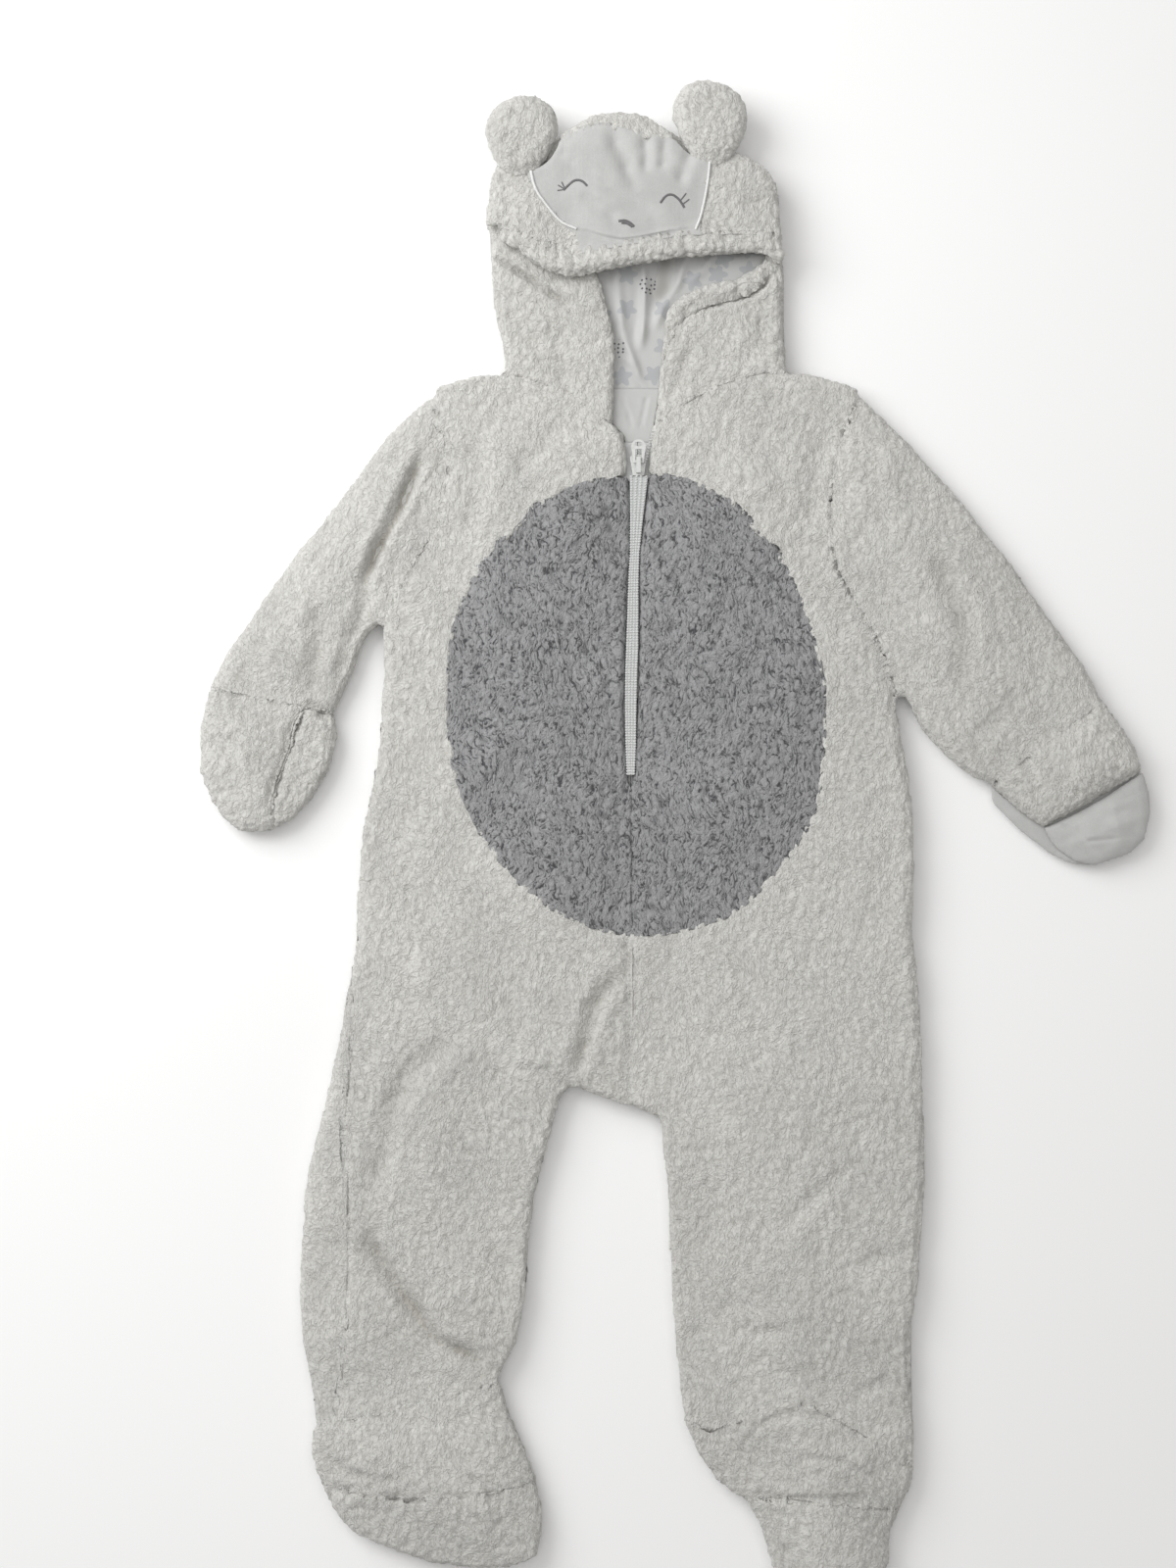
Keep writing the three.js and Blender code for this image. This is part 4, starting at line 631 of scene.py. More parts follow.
def dress(node, side, finish, slot, voxel, fine=True, curl=3.3, pile=1.5, proud=0.4, swell=1.0, creases=(),
          middle=7.1, wall=0.0):
    """Puts the even cloth mesh of one sewn piece in place and keeps what its creases and pile need."""
    thing = evenly_meshed(node, voxel, side, middle, fine)
    pieces[node] = thing
    plans[node] = {"side": side, "finish": finish, "slot": slot, "curl": curl, "pile": pile, "proud": proud,
                   "swell": swell, "creases": creases, "middle": middle, "wall": wall}


def finish_piece(node):
    """Presses a piece's creases, raises its pile and joins it to the body."""
    thing, plan = pieces[node], plans[node]
    press(thing.data, plan["creases"], -1.0 if plan["side"] == "under" else 1.0)
    points, normals = points_of(thing.data), normals_of(thing.data)
    reach = outside(points, normals, plan["side"], plan["middle"] * MM).astype(np.float32)
    thing.data.attributes.new("reach", "FLOAT", "POINT").data.foreach_set("value", reach)
    if plan["wall"]:
        hollow_out(thing, node, plan["wall"])
    grow(thing, pile_tree, plan["finish"], **{
        "Curl size": plan["curl"] * MM,
        "Pile depth": plan["pile"] * MM,
        "Curl pull": 0.9 * plan["curl"] * MM,
        "Proud": plan["proud"] * MM,
        "Swell height": plan["swell"] * MM,
    })
    smooth_shaded(thing.data)
    settle(thing, [node])


CELL = 1.0 * MM


def even_moves(mesh, shift, hit, free):
    """Gives the free points that have no move of their own the mean of their neighbours' moves."""
    ends = edge_ends(mesh)
    for _ in range(2):
        known = hit.astype(float)
        around = sum_around(ends, known)
        fill = ~hit & free & (around > 1.5)
        for axis in range(2):
            total = sum_around(ends, shift[:, axis] * known)
            shift[fill, axis] = total[fill] / around[fill]
        hit = hit | fill
    return shift


def draw_together(nodes, reach, overlap, skip):
    """Moves the rims of pieces that are sewn side by side out over the seam, until each is past its middle."""
    work = bmesh.new()
    ends = []
    for node in nodes:
        work.from_mesh(pieces[node].data)
        ends.append(len(work.faces))
    tree = BVHTree.FromBMesh(work)
    work.free()
    starts = [0, *ends[:-1]]
    moved = {}
    for node, start, end in zip(nodes, starts, ends):
        points, normals = points_of(pieces[node].data), normals_of(pieces[node].data)
        flat = np.hypot(normals[:, 0], normals[:, 1])
        weight = np.clip((flat - 0.25) / 0.4, 0.0, 1.0) * skip(points)
        free = (weight > 0.02) & (normals[:, 2] > -0.6)
        shift = np.zeros((len(points), 2))
        hit = np.zeros(len(points), dtype=bool)
        for index in np.flatnonzero(free):
            way = Vector((normals[index, 0], normals[index, 1], 0.0)).normalized()
            place = Vector(points[index]) + way * 0.05 * MM
            spot, _, face, distance = tree.ray_cast(place, way, reach * MM)
            if spot is not None and not start <= face < end:
                shift[index] = np.array(way.xy) * (distance / 2 + overlap * MM) * weight[index]
                hit[index] = True
        points[:, :2] += even_moves(pieces[node].data, shift, hit, free)
        moved[node] = points
    for node, points in moved.items():
        place_points(pieces[node].data, points)


def close_seams(nodes, reach, skip):
    """Lifts the rounded rims of pieces that are sewn side by side, so that the pile meets over the seam.

    The tops of all the pieces are laid on one grid, grooves narrower than twice the reach are filled there,
    and each point near the top goes up to the filled height at its place."""
    low = np.array(cad_low[:2]) - 10 * CELL
    size = np.ceil((np.array(cad_high[:2]) - low) / CELL).astype(int) + 12
    top = np.full(size, -1.0)
    cells = {}
    for node in nodes:
        points = points_of(pieces[node].data)
        cell = ((points[:, :2] - low) / CELL).astype(int)
        cells[node] = (points, cell)
        np.maximum.at(top, (cell[:, 0], cell[:, 1]), points[:, 2])
    spread = top.copy()
    for shift in ((1, 0), (-1, 0), (0, 1), (0, -1)):
        spread = np.maximum(spread, np.roll(top, shift, (0, 1)))
    top = np.where(top < 0, spread, top)
    steps = int(reach * MM / CELL)
    disc = [(i, j) for i in range(-steps, steps + 1) for j in range(-steps, steps + 1) if i * i + j * j <= steps**2]
    grown = np.full(size, -1.0)
    for shift in disc:
        grown = np.maximum(grown, np.roll(top, shift, (0, 1)))
    closed = np.full(size, 1.0)
    for shift in disc:
        closed = np.minimum(closed, np.roll(grown, shift, (0, 1)))
    closed = np.where(top > 0, closed, top)
    for node in nodes:
        points, cell = cells[node]
        mesh = pieces[node].data
        normals = normals_of(mesh)
        here = closed[cell[:, 0], cell[:, 1]]
        near_top = np.clip((points[:, 2] - top[cell[:, 0], cell[:, 1]]) / (3 * MM) + 1.0, 0.0, 1.0)
        lift_by = np.clip(here - points[:, 2], 0.0, 5.0 * MM) * near_top * skip(points)
        points[:, 2] += np.where(normals[:, 2] > -0.4, lift_by, 0.0)
        place_points(mesh, points)
        relax(mesh, 1)


# Creases and folds: path in mm, half width, depth, and the height of the roll on the path's left

FRONT_RIGHT_CREASES = (
    (((-26, -63), (-32, -68), (-41, -78), (-45, -86), (-49, -100), (-53, -113), (-57, -129)), 4.5, 3.4, 1.2),
    (((-25.5, 33), (-26.5, 0), (-25.5, -46), (-25.2, -95), (-25.4, -138)), 2.4, 1.6, 0.2),
    (((-119, -97), (-134, -110), (-148, -122), (-156, -141), (-161, -163), (-168, -198)), 6.5, 2.8, 1.6),
    (((-168, -198), (-168, -215), (-156, -236), (-144, -252), (-134, -267), (-113, -277), (-101, -291)),
     5.0, 4.6, 1.8),
    (((-173, -76), (-183, -141), (-181, -205), (-183, -276), (-187, -313)), 1.6, 1.3, 0.3),
    (((-115, 236), (-106, 214), (-110, 190), (-118, 168)), 6.0, 1.6, 0.6),
    (((-60, 238), (-76, 224), (-88, 205)), 6.0, 1.3, 0.5),
    (((-150, -40), (-148, -75), (-140, -110)), 9.0, 1.2, 0.6),
    (((-136, 120), (-146, 92), (-148, 52)), 9.0, 1.1, 0.5),
    (((-95, -60), (-88, -95), (-92, -125)), 9.0, 1.1, 0.6),
    (((-110, -190), (-98, -214), (-92, -240)), 7.0, 1.0, 0.5),
)
FRONT_LEFT_CREASES = (
    (((97, -170), (66, -198), (53, -211)), 5.0, 1.6, 0.8),
    (((25, -260), (45, -264), (70, -262)), 4.5, 1.4, 0.7),
    (((97, -228), (115, -222), (130, -220)), 4.5, 1.3, 0.6),
    (((97, -298), (108, -294), (118, -290)), 4.0, 1.4, 0.7),
    (((112, 40), (118, 0), (112, -48)), 9.0, 1.2, 0.6),
    (((30, -80), (52, -104), (88, -116)), 10.0, 1.2, 0.7),
    (((10, -150), (22, -190), (16, -235)), 8.0, 1.1, 0.5),
    (((40, 238), (54, 220), (60, 196)), 6.0, 1.3, 0.5),
    (((84, 236), (76, 206), (74, 176)), 6.0, 1.5, 0.6),
)
BELLY_CREASES = (
    (((-118, 120), (-96, 96), (-88, 60)), 9.0, 0.9, 0.5),
    (((-60, 20), (-72, -10), (-70, -30)), 8.0, 0.8, 0.4),
    (((30, 150), (50, 110), (52, 70)), 9.0, 0.9, 0.5),
    (((10, 10), (26, -10), (44, -20)), 8.0, 0.8, 0.4),
)
SLEEVE_RIGHT_CREASES = (
    (((-206, 83), (-199, 80), (-189, 71)), 2.2, 3.2, 0.7),
    (((-166, 152), (-172, 132), (-184, 104), (-192, 82)), 4.0, 2.0, 0.6),
    (((-137, 228), (-143, 211), (-150, 194), (-157, 180), (-165, 165), (-171, 150), (-175, 136)), 3.3, 5.4, 0.9),
    (((-197, 139), (-198, 114), (-201, 82)), 6.0, 2.8, 1.2),
    (((-186, 190), (-196, 168), (-200, 150)), 7.0, 1.1, 0.5),
    (((-225, 120), (-232, 100), (-234, 84)), 6.0, 1.0, 0.5),
)
SLEEVE_LEFT_CREASES = (
    (((138, 171), (149, 150), (159, 121), (156, 85)), 6.5, 2.8, 1.2),
    (((104, 226), (112, 196), (116, 168)), 6.0, 1.3, 0.5),
    (((180, 165), (192, 140), (200, 112)), 8.0, 1.2, 0.6),
    (((160, 60), (176, 72), (190, 92)), 5.0, 1.2, 0.5),
)
FOOT_RIGHT_CREASES = (
    (((-198, -325), (-190, -334), (-180, -341), (-162, -344), (-148, -343)), 3.6, 2.0, 0.9),
    (((-195, -351), (-180, -350), (-160, -348)), 3.2, 1.2, 0.6),
    (((-122, -338), (-110, -346), (-99, -355), (-94, -364)), 3.4, 1.8, 0.7),
    (((-140, -322), (-130, -334), (-126, -350)), 5.0, 1.0, 0.5),
    (((-120, -378), (-106, -388), (-96, -392)), 4.0, 1.2, 0.5),
)
FOOT_LEFT_CREASES = (
    (((36, -321), (45, -313.5), (63, -307.5), (79, -309.5), (94, -315.5), (115, -328)), 2.8, 1.7, 0.7),
    (((60, -333), (76, -333), (90, -334), (108, -346)), 2.6, 1.5, 0.5),
    (((36, -353), (56, -354.5), (82, -354), (112, -356)), 2.4, 1.9, 0.4),
    (((60, -376), (66, -392), (62, -408)), 5.0, 1.1, 0.5),
)
MITT_RIGHT_CREASES = (
    (((-201, 92), (-203, 82), (-210, 69), (-213.5, 59), (-220, 36), (-226, 20)), 3.0, 2.2, 0.9),
    (((-206, 83), (-199, 80), (-189, 71)), 2.2, 3.2, 0.7),
    (((-246, 60), (-240, 40), (-236, 22)), 6.0, 1.0, 0.5),
    (((-262, 66), (-252, 58), (-240, 56)), 5.0, 0.9, 0.4),
)
CUFF_CREASES = (
    (((176, 60), (190, 52), (200, 36)), 4.0, 1.6, 0.7),
    (((196, 78), (214, 70), (236, 78)), 5.0, 1.0, 0.6),
)
HOOD_CREASES = (
    (((-104, 329), (-96, 324.4), (-86.7, 318.9), (-72.6, 309.7), (-62.9, 303.2), (-56, 296)), 1.7, 3.8, 1.3),
    (((4, 297), (12, 300), (24, 302), (40, 307.5), (52, 316), (60, 326)), 2.0, 2.4, 0.0),
    (((-95, 300), (-84, 284), (-70, 276)), 5.0, 1.3, 0.6),
    (((-60, 300), (-66, 270), (-58, 246)), 6.0, 1.2, 0.5),
    (((52, 300), (44, 276), (30, 262)), 5.0, 1.4, 0.6),
    (((10, 280), (2, 262), (-6, 246)), 5.0, 1.2, 0.5),
)
FACE_CREASES = (
    (((-38, 398), (-30.5, 381), (-21, 360)), 4.2, 2.2, 0.5),
    (((-17.8, 396), (-17.0, 383), (-17.8, 368)), 3.2, 1.6, 0.4),
    (((-6.4, 395), (-7.2, 384), (-8.4, 371)), 2.9, 1.4, 0.4),
    (((9.2, 388), (4.6, 376), (0.2, 363)), 3.4, 1.5, 0.4),
    (((-54, 360), (-42, 353), (-30, 345)), 3.4, 1.3, 0.4),
    (((-66, 386), (-58, 378), (-55, 370)), 3.6, 0.8, 0.3),
    (((-60, 341.6), (-48.3, 339.0), (-40.4, 336.4), (-29.9, 334.6), (-19.4, 336.0), (-6, 338.6), (12, 341.8)),
     0.9, 1.2, 0.5),
)
LINING_CREASES = (
    (((-34.5, 334), (-32, 308), (-30, 289), (-25, 272), (-19, 252)), 2.8, -2.6, 0.0),
    (((-21, 338), (-17.5, 314), (-18, 294), (-20, 274)), 2.3, -3.4, 0.0),
    (((8, 338), (1, 314), (-8, 300), (-13, 284)), 2.6, -2.4, 0.0),
    (((-12, 344), (-6, 330), (-8, 312), (-14, 300)), 5.5, 2.6, 0.0),
    (((20, 342), (34, 334), (50, 336)), 4.0, 2.6, 0.0),
    (((-34, 286), (-28.5, 276), (-21, 260)), 1.6, 1.0, 0.6),
    (((-31.5, 274), (-25, 264), (-17, 254)), 1.5, 1.0, 0.6),
    (((24, 334), (16, 322), (4, 312)), 2.6, -1.6, 0.0),
)
FACING_CREASES = (
    (((-31, 252), (-27, 243), (-24, 232)), 1.5, 0.5, 0.3),
    (((-16, 253), (-18, 243), (-20, 233)), 1.4, 0.5, 0.3),
)
HAND_CREASES = (
    (((207, 20), (226, 6), (246, 8)), 1.1, 0.8, 0.3),
    (((214, 30), (232, 20), (250, 22)), 4.0, 0.8, 0.4),
)
BACK_CREASES = (
    (((-120, 210), (-60, 196), (20, 200), (90, 214)), 9.0, 1.8, 0.8),
    (((-150, 60), (-90, 44), (-30, 52)), 10.0, 1.6, 0.8),
    (((-20, 30), (50, 18), (120, 34)), 9.0, 1.8, 0.8),
    (((-180, -90), (-130, -104), (-80, -96), (-30, -112)), 8.0, 2.0, 1.0),
    (((-16, -118), (40, -98), (124, -104)), 8.0, 1.8, 0.9),
    (((-196, -230), (-150, -222), (-96, -236)), 7.0, 1.9, 0.9),
    (((8, -214), (60, -228), (126, -218)), 7.0, 1.7, 0.8),
    (((-25.5, 240), (-25, 60), (-25.4, -138)), 2.4, 1.4, 0.2),
    (((-236, 130), (-210, 116), (-186, 122)), 6.0, 1.6, 0.7),
    (((146, 160), (170, 140), (206, 150)), 6.0, 1.5, 0.7),
)

CREAM = {"finish": cream_pile, "slot": "fleece", "pile": 1.2, "swell": 1.4}
CURLY = {"finish": cream_pile, "slot": "fleece", "curl": 3.6, "pile": 1.9, "proud": 0.9, "swell": 1.6}
GREY = {"finish": grey_pile, "slot": "grey_fleece", "curl": 2.9, "pile": 1.0}
SMOOTH = {"finish": white_velour, "slot": "velour", "curl": 6.0, "pile": 0.12, "proud": 0.1, "swell": 0.7}

for node, creases in (("front_right", FRONT_RIGHT_CREASES), ("front_left", FRONT_LEFT_CREASES)):
    dress(node, "top", voxel=2.35, creases=creases, **CREAM)
for node in ("belly_right", "belly_left"):
    dress(node, "top", voxel=2.0, creases=BELLY_CREASES, **GREY)
dress("back_right", "both", voxel=3.2, **CREAM)
for node in ("back_left", "hood_back"):
    dress(node, "under", voxel=3.6, creases=BACK_CREASES, **CREAM)
for node, creases in (("sleeve_right", SLEEVE_RIGHT_CREASES), ("sleeve_left", SLEEVE_LEFT_CREASES)):
    dress(node, "both", voxel=2.6, creases=creases, wall=4.6, **CREAM)
for node in ("foot_right_upper", "foot_right_sole"):
    dress(node, "top", voxel=2.2, creases=FOOT_RIGHT_CREASES, **CREAM)
for node in ("foot_left_instep", "foot_left_upper"):
    dress(node, "top", voxel=2.2, creases=FOOT_LEFT_CREASES, **CREAM)
for node in ("foot_right_under", "foot_left_sole", "mitt_right_palm"):
    dress(node, "under", voxel=3.0, creases=BACK_CREASES, **CREAM)
dress("mitt_right_flap", "top", voxel=2.0, creases=MITT_RIGHT_CREASES, **CREAM)
dress("cuff_left", "top", voxel=2.0, creases=CUFF_CREASES, **CREAM)
for node in ("hood_side_right", "hood_side_left"):
    dress(node, "top", voxel=1.9, creases=HOOD_CREASES, **CREAM)
for node in ("hood_top_right", "hood_top_left", "hood_cheek_right", "hood_cheek_left"):
    dress(node, "top", voxel=1.8, creases=HOOD_CREASES, **CREAM)
dress("hood_brim", "both", voxel=1.7, middle=14.0, **CURLY)
dress("mitt_right_hand", "top", voxel=1.6, creases=MITT_RIGHT_CREASES, **CREAM)
dress("mitt_left_palm", "under", voxel=1.6, fine=False, **SMOOTH)
dress("mitt_left_hand", "top", voxel=1.2, fine=False, creases=HAND_CREASES, **SMOOTH)
dress("face", "top", voxel=1.4, creases=FACE_CREASES, **SMOOTH)
dress("hood_edge_left", "both", voxel=1.5, middle=8.0, **CURLY)
JERSEY_LAY = {"curl": 6.0, "pile": 0.08, "proud": 0.0, "swell": 0.5, "fine": False}
dress("hood_lining", "top", star_jersey, "printed_jersey", voxel=0.9, creases=LINING_CREASES, **JERSEY_LAY)
dress("neck_facing", "top", white_jersey, "plain_jersey", voxel=0.6, creases=FACING_CREASES, **JERSEY_LAY)
for node in ("ear_right", "ear_left"):
    dress(node, "both", voxel=1.7, middle=14.0, **CREAM)


def off_the_zip(points):
    """1 away from the zip's slit and 0 in it."""
    x, y = points[:, 0] / MM, points[:, 1] / MM
    across = np.clip((np.abs(x + 23.5) - 9.0) / 3.0, 0.0, 1.0)
    below = np.clip((38.0 - y) / 6.0, 0.0, 1.0)
    above = np.clip((y - 324.0) / 6.0, 0.0, 1.0)
    return np.maximum(np.maximum(across, 0.75 * below), above)


def bend_edge_roll(mesh):
    """Carries the turned edge of the hood on to the brim's end above, and into the hood's side below."""
    points = points_of(mesh) / MM
    upper = np.clip((points[:, 0] - 26.0) / 18.0, 0.0, 1.0)
    lower = np.clip((-4.0 - points[:, 0]) / 10.0, 0.0, 1.0)
    points[:, 0] += 10.5 * upper**1.3 + 5.5 * lower
    points[:, 1] += 11.0 * upper**2.2 - 9.0 * lower**1.5
    points[:, 2] += 1.5 * upper - 1.0 * lower
    place_points(mesh, points * MM)


def shape_ear(mesh, lean):
    """Draws an ear's lower part down to a narrower root that leans outwards."""
    points = points_of(mesh) / MM
    low, high = points.min(axis=0), points.max(axis=0)
    middle, half = (low + high) / 2, (high - low) / 2
    share = np.clip((middle[1] - points[:, 1]) / half[1], 0.0, 1.0)
    points[:, 0] = middle[0] + (points[:, 0] - middle[0]) * (1.0 - 0.20 * share) + 4.0 * lean * share
    points[:, 1] -= 5.5 * share**1.4
    bulge = 0.04 * np.sin(3.0 * np.arctan2(points[:, 1] - middle[1], points[:, 0] - middle[0]) + lean)
    points[:, :2] += (points[:, :2] - middle[:2]) * bulge[:, None]
    place_points(mesh, points * MM)


def widen(mesh, sides, ends):
    """Lets a flat piece reach a little further under its neighbours."""
    points = points_of(mesh) / MM
    low, high = points.min(axis=0), points.max(axis=0)
    middle, half = (low + high) / 2, (high - low) / 2
    points[:, 0] += sides * (points[:, 0] - middle[0]) / half[0]
    points[:, 1] += ends * (points[:, 1] - middle[1]) / half[1]
    place_points(mesh, points * MM)


bend_edge_roll(pieces["hood_edge_left"].data)
shape_ear(pieces["ear_right"].data, -1.0)
shape_ear(pieces["ear_left"].data, 1.0)
widen(pieces["neck_facing"].data, 2.2, 1.2)
BODY_TOP = ("front_right", "front_left", "belly_right", "belly_left", "back_right", "sleeve_right", "sleeve_left",
            "foot_right_upper", "foot_right_sole", "foot_left_instep", "foot_left_upper", "mitt_right_flap",
            "mitt_right_hand", "cuff_left", "hood_side_right", "hood_side_left")
for reach in (6.0, 3.0):
    draw_together(BODY_TOP, reach, 0.8, off_the_zip)
close_seams(BODY_TOP, 4.0, off_the_zip)
draw_together(("hood_side_left", "hood_edge_left"), 9.0, 0.8, off_the_zip)
HOOD_TOP = ("hood_top_right", "hood_top_left", "hood_cheek_right", "hood_cheek_left", "face", "hood_brim")
for reach in (4.0, 2.0):
    draw_together(HOOD_TOP, reach, 0.9, off_the_zip)
close_seams(HOOD_TOP, 3.0, off_the_zip)
for node in pieces:
    finish_piece(node)

# Zip

for node in ("zip_tape_right", "zip_tape_left", "zip_chain", "zip_slider", "zip_pull_tab"):
    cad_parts[node].data.materials.clear()
    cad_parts[node].data.materials.append(zip_enamel if node in ("zip_slider", "zip_pull_tab") else zip_weave)


def path_object(name, points):
    """A bare line of edges through points in metres."""
    mesh = bpy.data.meshes.new(name)
    mesh.from_pydata([tuple(p) for p in points], [(i, i + 1) for i in range(len(points) - 1)], [])
    return new_object(name, mesh)


def smooth_path(points, step):
    """Points along a smooth line through the given ones, both in mm."""
    points = np.array(points, dtype=float)
    ends = np.vstack((2 * points[0] - points[1], points, 2 * points[-1] - points[-2]))
    line = []
    for a, b, c, d in zip(ends[:-3], ends[1:-2], ends[2:-1], ends[3:]):
        for t in np.arange(0.0, 1.0, step / max(np.linalg.norm(c - b), step)):
            line.append(0.5 * (2 * b + (c - a) * t + (2 * a - 5 * b + 4 * c - d) * t * t
                               + (3 * b - a - 3 * c + d) * t**3))
    line.append(points[-1])
    return np.array(line)


surfaces = {}


def surface_height(names, x, y):
    """The height of the highest of the named dressed pieces at a point, in metres."""
    best = None
    for name in names:
        if name not in surfaces:
            thing = pieces[name]
            vertices = [v.co for v in thing.data.vertices]
            surfaces[name] = BVHTree.FromPolygons(vertices, [p.vertices for p in thing.data.polygons])
        hit = surfaces[name].ray_cast(Vector((x, y, 0.1)), Vector((0, 0, -1)))[0]
        if hit is not None and (best is None or hit.z > best):
            best = hit.z
    return best


def stitch_row(name, path, on, finish, slot, sink=0.0, fallback=None, **numbers):
    """Sews a row of stitches along a path in mm, on the pieces it names."""
    line = []
    for x, y in smooth_path(path, 0.6) * MM:
        z = surface_height(on, x, y)
        z = fallback if z is None else z
        if z is not None:
            line.append((x, y, z - sink * MM))
    thing = path_object(name, line)
    grow(thing, stitch_tree, finish, **numbers)
    smooth_shaded(thing.data)
    settle(thing, [])
    return thing


def stitches(spacing, length, width, height, slant, uneven):
    """The numbers of a stitch row, with its sizes in mm."""
    return {
        "Spacing": spacing * MM,
        "Stitch length": length * MM,
        "Stitch width": width * MM,
        "Stitch height": height * MM,
        "Slant": slant,
        "Uneven": uneven,
    }


def satin(width, pitch=0.42, height=0.55):
    """Close stitches across an embroidered line of this width in mm."""
    return stitches(pitch, width, 0.55, height, 0.0, 0.06)


FACE_ON = ("face", "hood_cheek_right", "hood_cheek_left")
stitch_row("face_line_right", ((-80.7, 375.0), (-77.5, 362.6), (-70.5, 352.4), (-63.5, 344.8), (-55.4, 341.0)),
           FACE_ON, white_thread, "velour", sink=-0.5, **satin(1.9, 0.42, 0.9))
stitch_row("face_line_left", ((18.1, 382.1), (16.5, 366.4), (13.2, 349.7), (10.0, 341.0)),
           FACE_ON, white_thread, "velour", sink=-0.5, **satin(1.7, 0.42, 0.9))
EYES = (
    ("eye_right", ((-62.2, 362.2), (-60.0, 364.4), (-56.8, 367.0), (-54.1, 367.4), (-51.6, 366.4), (-49.4, 364.2)),
     1.5),
    ("lash_right_upper", ((-61.6, 362.9), (-63.2, 366.4)), 0.8),
    ("lash_right_middle", ((-61.8, 362.7), (-65.2, 364.8)), 0.8),
    ("lash_right_lower", ((-61.8, 362.4), (-65.4, 361.9)), 0.8),
    ("eye_left", ((-9.3, 355.0), (-6.4, 358.6), (-3.1, 359.4), (0.2, 357.4), (2.4, 354.6), (3.6, 352.6)), 1.5),
    ("lash_left_upper", ((1.6, 356.3), (4.6, 360.2)), 0.8),
    ("lash_left_lower", ((2.8, 354.3), (6.3, 357.0)), 0.8),
    ("nose", ((-32.0, 345.0), (-29.0, 345.3), (-26.2, 344.2), (-23.8, 342.2)), 1.6),
    ("nose_middle", ((-30.4, 344.4), (-27.6, 344.2), (-24.6, 342.3)), 2.4),
)
for name, path, width in EYES:
    stitch_row(name, path, ("face",), grey_thread, "velour", sink=-0.1, **satin(width, 0.34, 0.5))

low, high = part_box("zip_chain")
CHAIN_LINE = ((-20.9, 206.5), (-21.9, 189), (-23.2, 165), (-23.9, 148), (-24.6, 113), (-25.3, 90), (-25.4, 43))
CHAIN_HALF = ((43, 2.0), (60, 2.7), (90, 3.1), (113, 3.2), (148, 2.6), (165, 2.4), (189, 3.8), (196, 4.3), (207, 5.0))
CHAIN_RISE = 3.2


def ribbon(name, rows, foot, top):
    """A flat strip along rows of x, y and half width in mm, between two heights in metres."""
    vertices = []
    for x, y, half in rows:
        vertices += [((x + side * half) * MM, y * MM, z) for side, z in ((-1, foot), (1, foot), (1, top), (-1, top))]
    faces = [(0, 1, 2, 3), tuple(len(vertices) - 1 - i for i in range(4))]
    for start in range(0, len(vertices) - 4, 4):
        faces += [(start + i, start + 4 + i, start + 4 + (i + 1) % 4, start + (i + 1) % 4) for i in range(4)]
    mesh = bpy.data.meshes.new(name)
    mesh.from_pydata(vertices, [], faces)
    work = bmesh.new()
    work.from_mesh(mesh)
    bmesh.ops.recalc_face_normals(work, faces=work.faces)
    work.to_mesh(mesh)
    work.free()
    mesh.materials.append(zip_ground)
    return new_object(name, mesh)


chain_top = high[2] + CHAIN_RISE * MM
halves = np.array(CHAIN_HALF)
strip = [(x, y, np.interp(y, halves[:, 0], halves[:, 1])) for x, y in smooth_path(CHAIN_LINE, 2.0)]
settle(ribbon("chain_strip", strip, high[2] + 0.05 * MM, chain_top - 0.3 * MM), [])
for place, off in enumerate((-0.82, -0.27, 0.27, 0.82)):
    line = [((x + off * half) * MM, y * MM, chain_top - 0.35 * MM) for x, y, half in strip]
    thing = path_object(f"chain_column_{place + 1}", line)
    slant = 0.35 if place % 2 else -0.35
    grow(thing, stitch_tree, zip_weave, **stitches(1.5, 1.9, 1.15, 1.2, slant, 0.05))
    smooth_shaded(thing.data)
    settle(thing, [])
TEETH = ((-12.8, 231.5), (-14.2, 227.0), (-16.0, 220.5), (-17.6, 214.5))
TEETH_HEIGHT = 12.6
thing = path_object("teeth_left", [(x * MM, y * MM, TEETH_HEIGHT * MM) for x, y in smooth_path(TEETH, 1.0)])
grow(thing, stitch_tree, zip_weave, **stitches(1.5, 2.4, 0.9, 1.2, 0.2, 0.03))
smooth_shaded(thing.data)
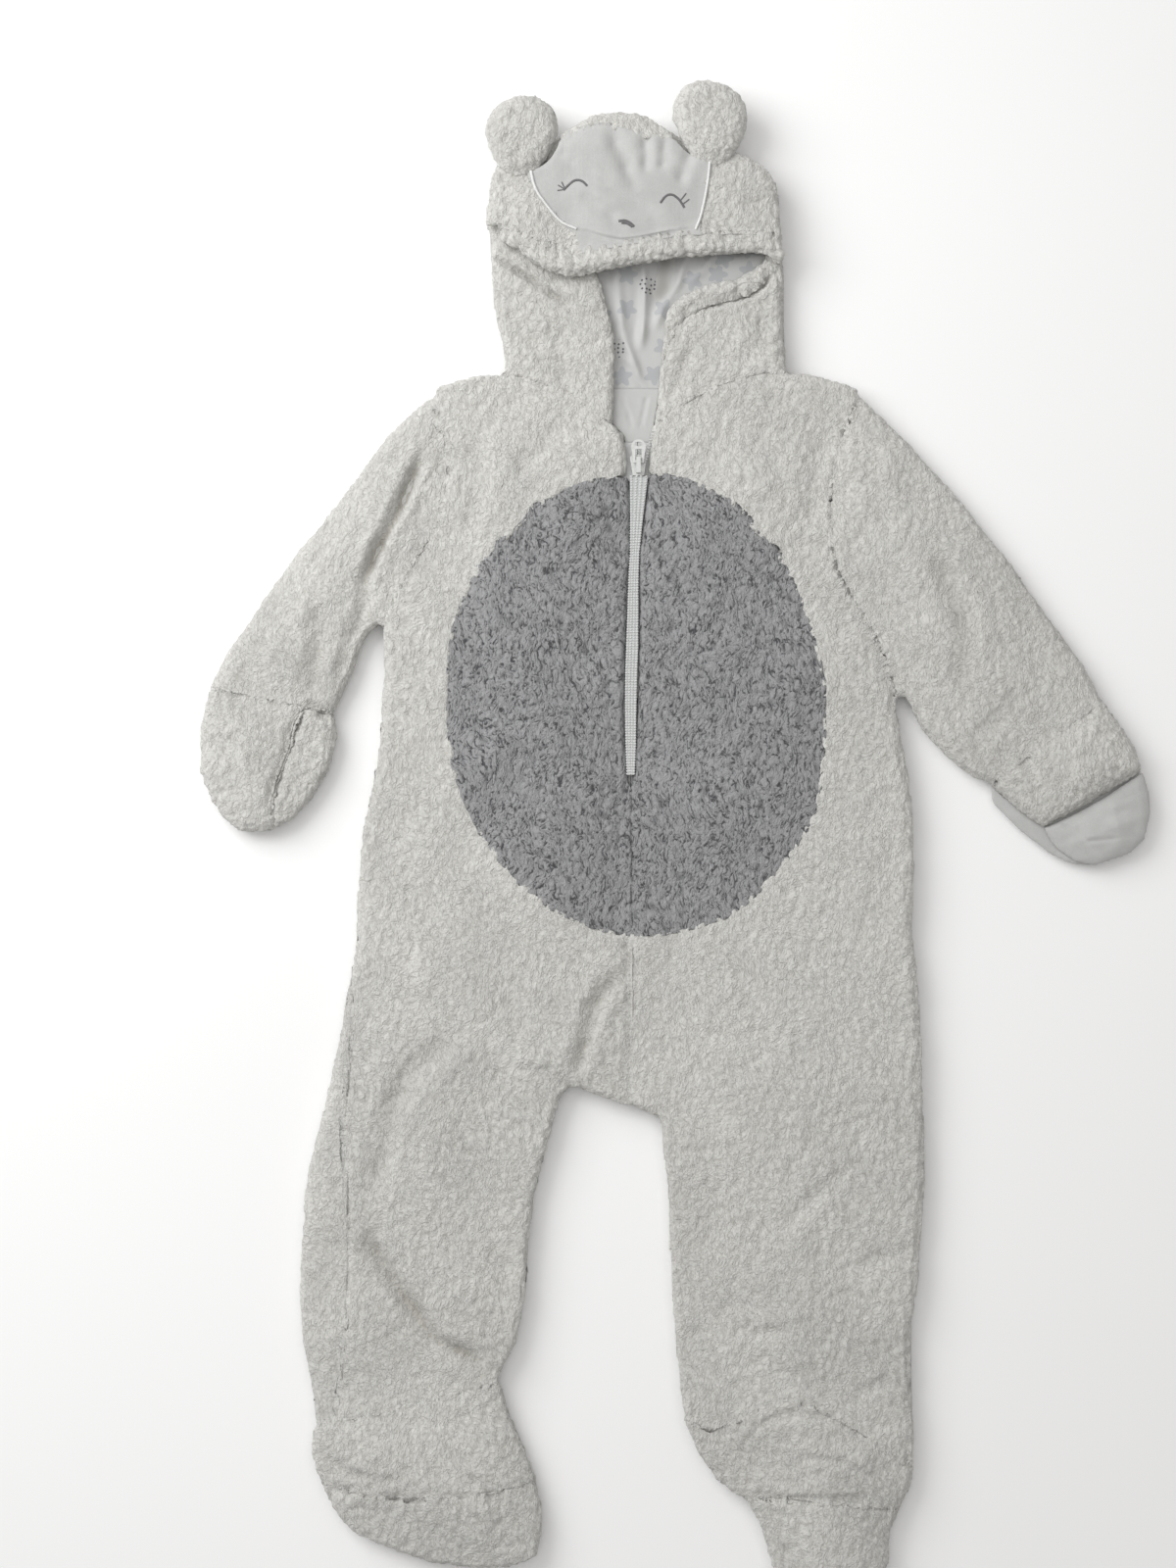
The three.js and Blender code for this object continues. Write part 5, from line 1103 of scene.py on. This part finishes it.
settle(thing, [])

for node, thing in pieces.items():
    if node in ("ear_right", "ear_left"):
        continue

# Floor, light and camera


def make_floor():
    mesh = bpy.data.meshes.new("floor")
    half = 4.0
    mesh.from_pydata([(-half, -half, 0), (half, -half, 0), (half, half, 0), (-half, half, 0)], [], [(0, 1, 2, 3)])
    made, tree, shader = new_finish("floor_white", 0.9, specular=0.1)
    place = object_place(tree)
    soft = put(tree, "ShaderNodeTexNoise", {"Vector": place, "Scale": 3.0}).outputs["Fac"]
    tree.links.new(scaled(tree, rgb(tree, (0.96, 0.96, 0.96)), step_of(tree, soft, 0.3, 0.7, 0.99, 1.0)),
                   shader.inputs["Base Color"])
    mesh.materials.append(made)
    thing = new_object("floor", mesh)
    thing.location.z = -0.0004


def area_light(name, place, aim, size, power, colour=(1.0, 1.0, 1.0)):
    light = bpy.data.lights.new(name, "AREA")
    light.size = size
    light.energy = power
    light.color = colour
    thing = bpy.data.objects.new(name, light)
    thing.location = place
    thing.rotation_euler = (Vector(aim) - Vector(place)).to_track_quat("-Z", "Y").to_euler()
    bpy.context.scene.collection.objects.link(thing)


make_floor()
area_light("window_side", (-0.95, 0.70, 0.90), (-0.02, 0.05, 0.0), 1.0, 15.6, (0.99, 0.995, 1.0))
area_light("soft_overhead", (-0.1, 0.4, 2.3), (0.0, 0.0, 0.0), 2.2, 17.5)
world = bpy.data.worlds.new("studio")
world.use_nodes = True
world.node_tree.nodes["Background"].inputs["Color"].default_value = (1.0, 0.985, 0.965, 1.0)
world.node_tree.nodes["Background"].inputs["Strength"].default_value = 0.365
bpy.context.scene.world = world
bpy.context.scene.view_settings.view_transform = "Standard"

CAMERA_PLACE = (-0.0489, 0.0375, 1.51)
CAMERA_LENS = 62.5
camera_data = bpy.data.cameras.new("camera")
camera_data.lens = CAMERA_LENS
camera_data.sensor_width = 36.0
camera = bpy.data.objects.new("camera", camera_data)
camera.location = CAMERA_PLACE
bpy.context.scene.collection.objects.link(camera)
bpy.context.scene.camera = camera
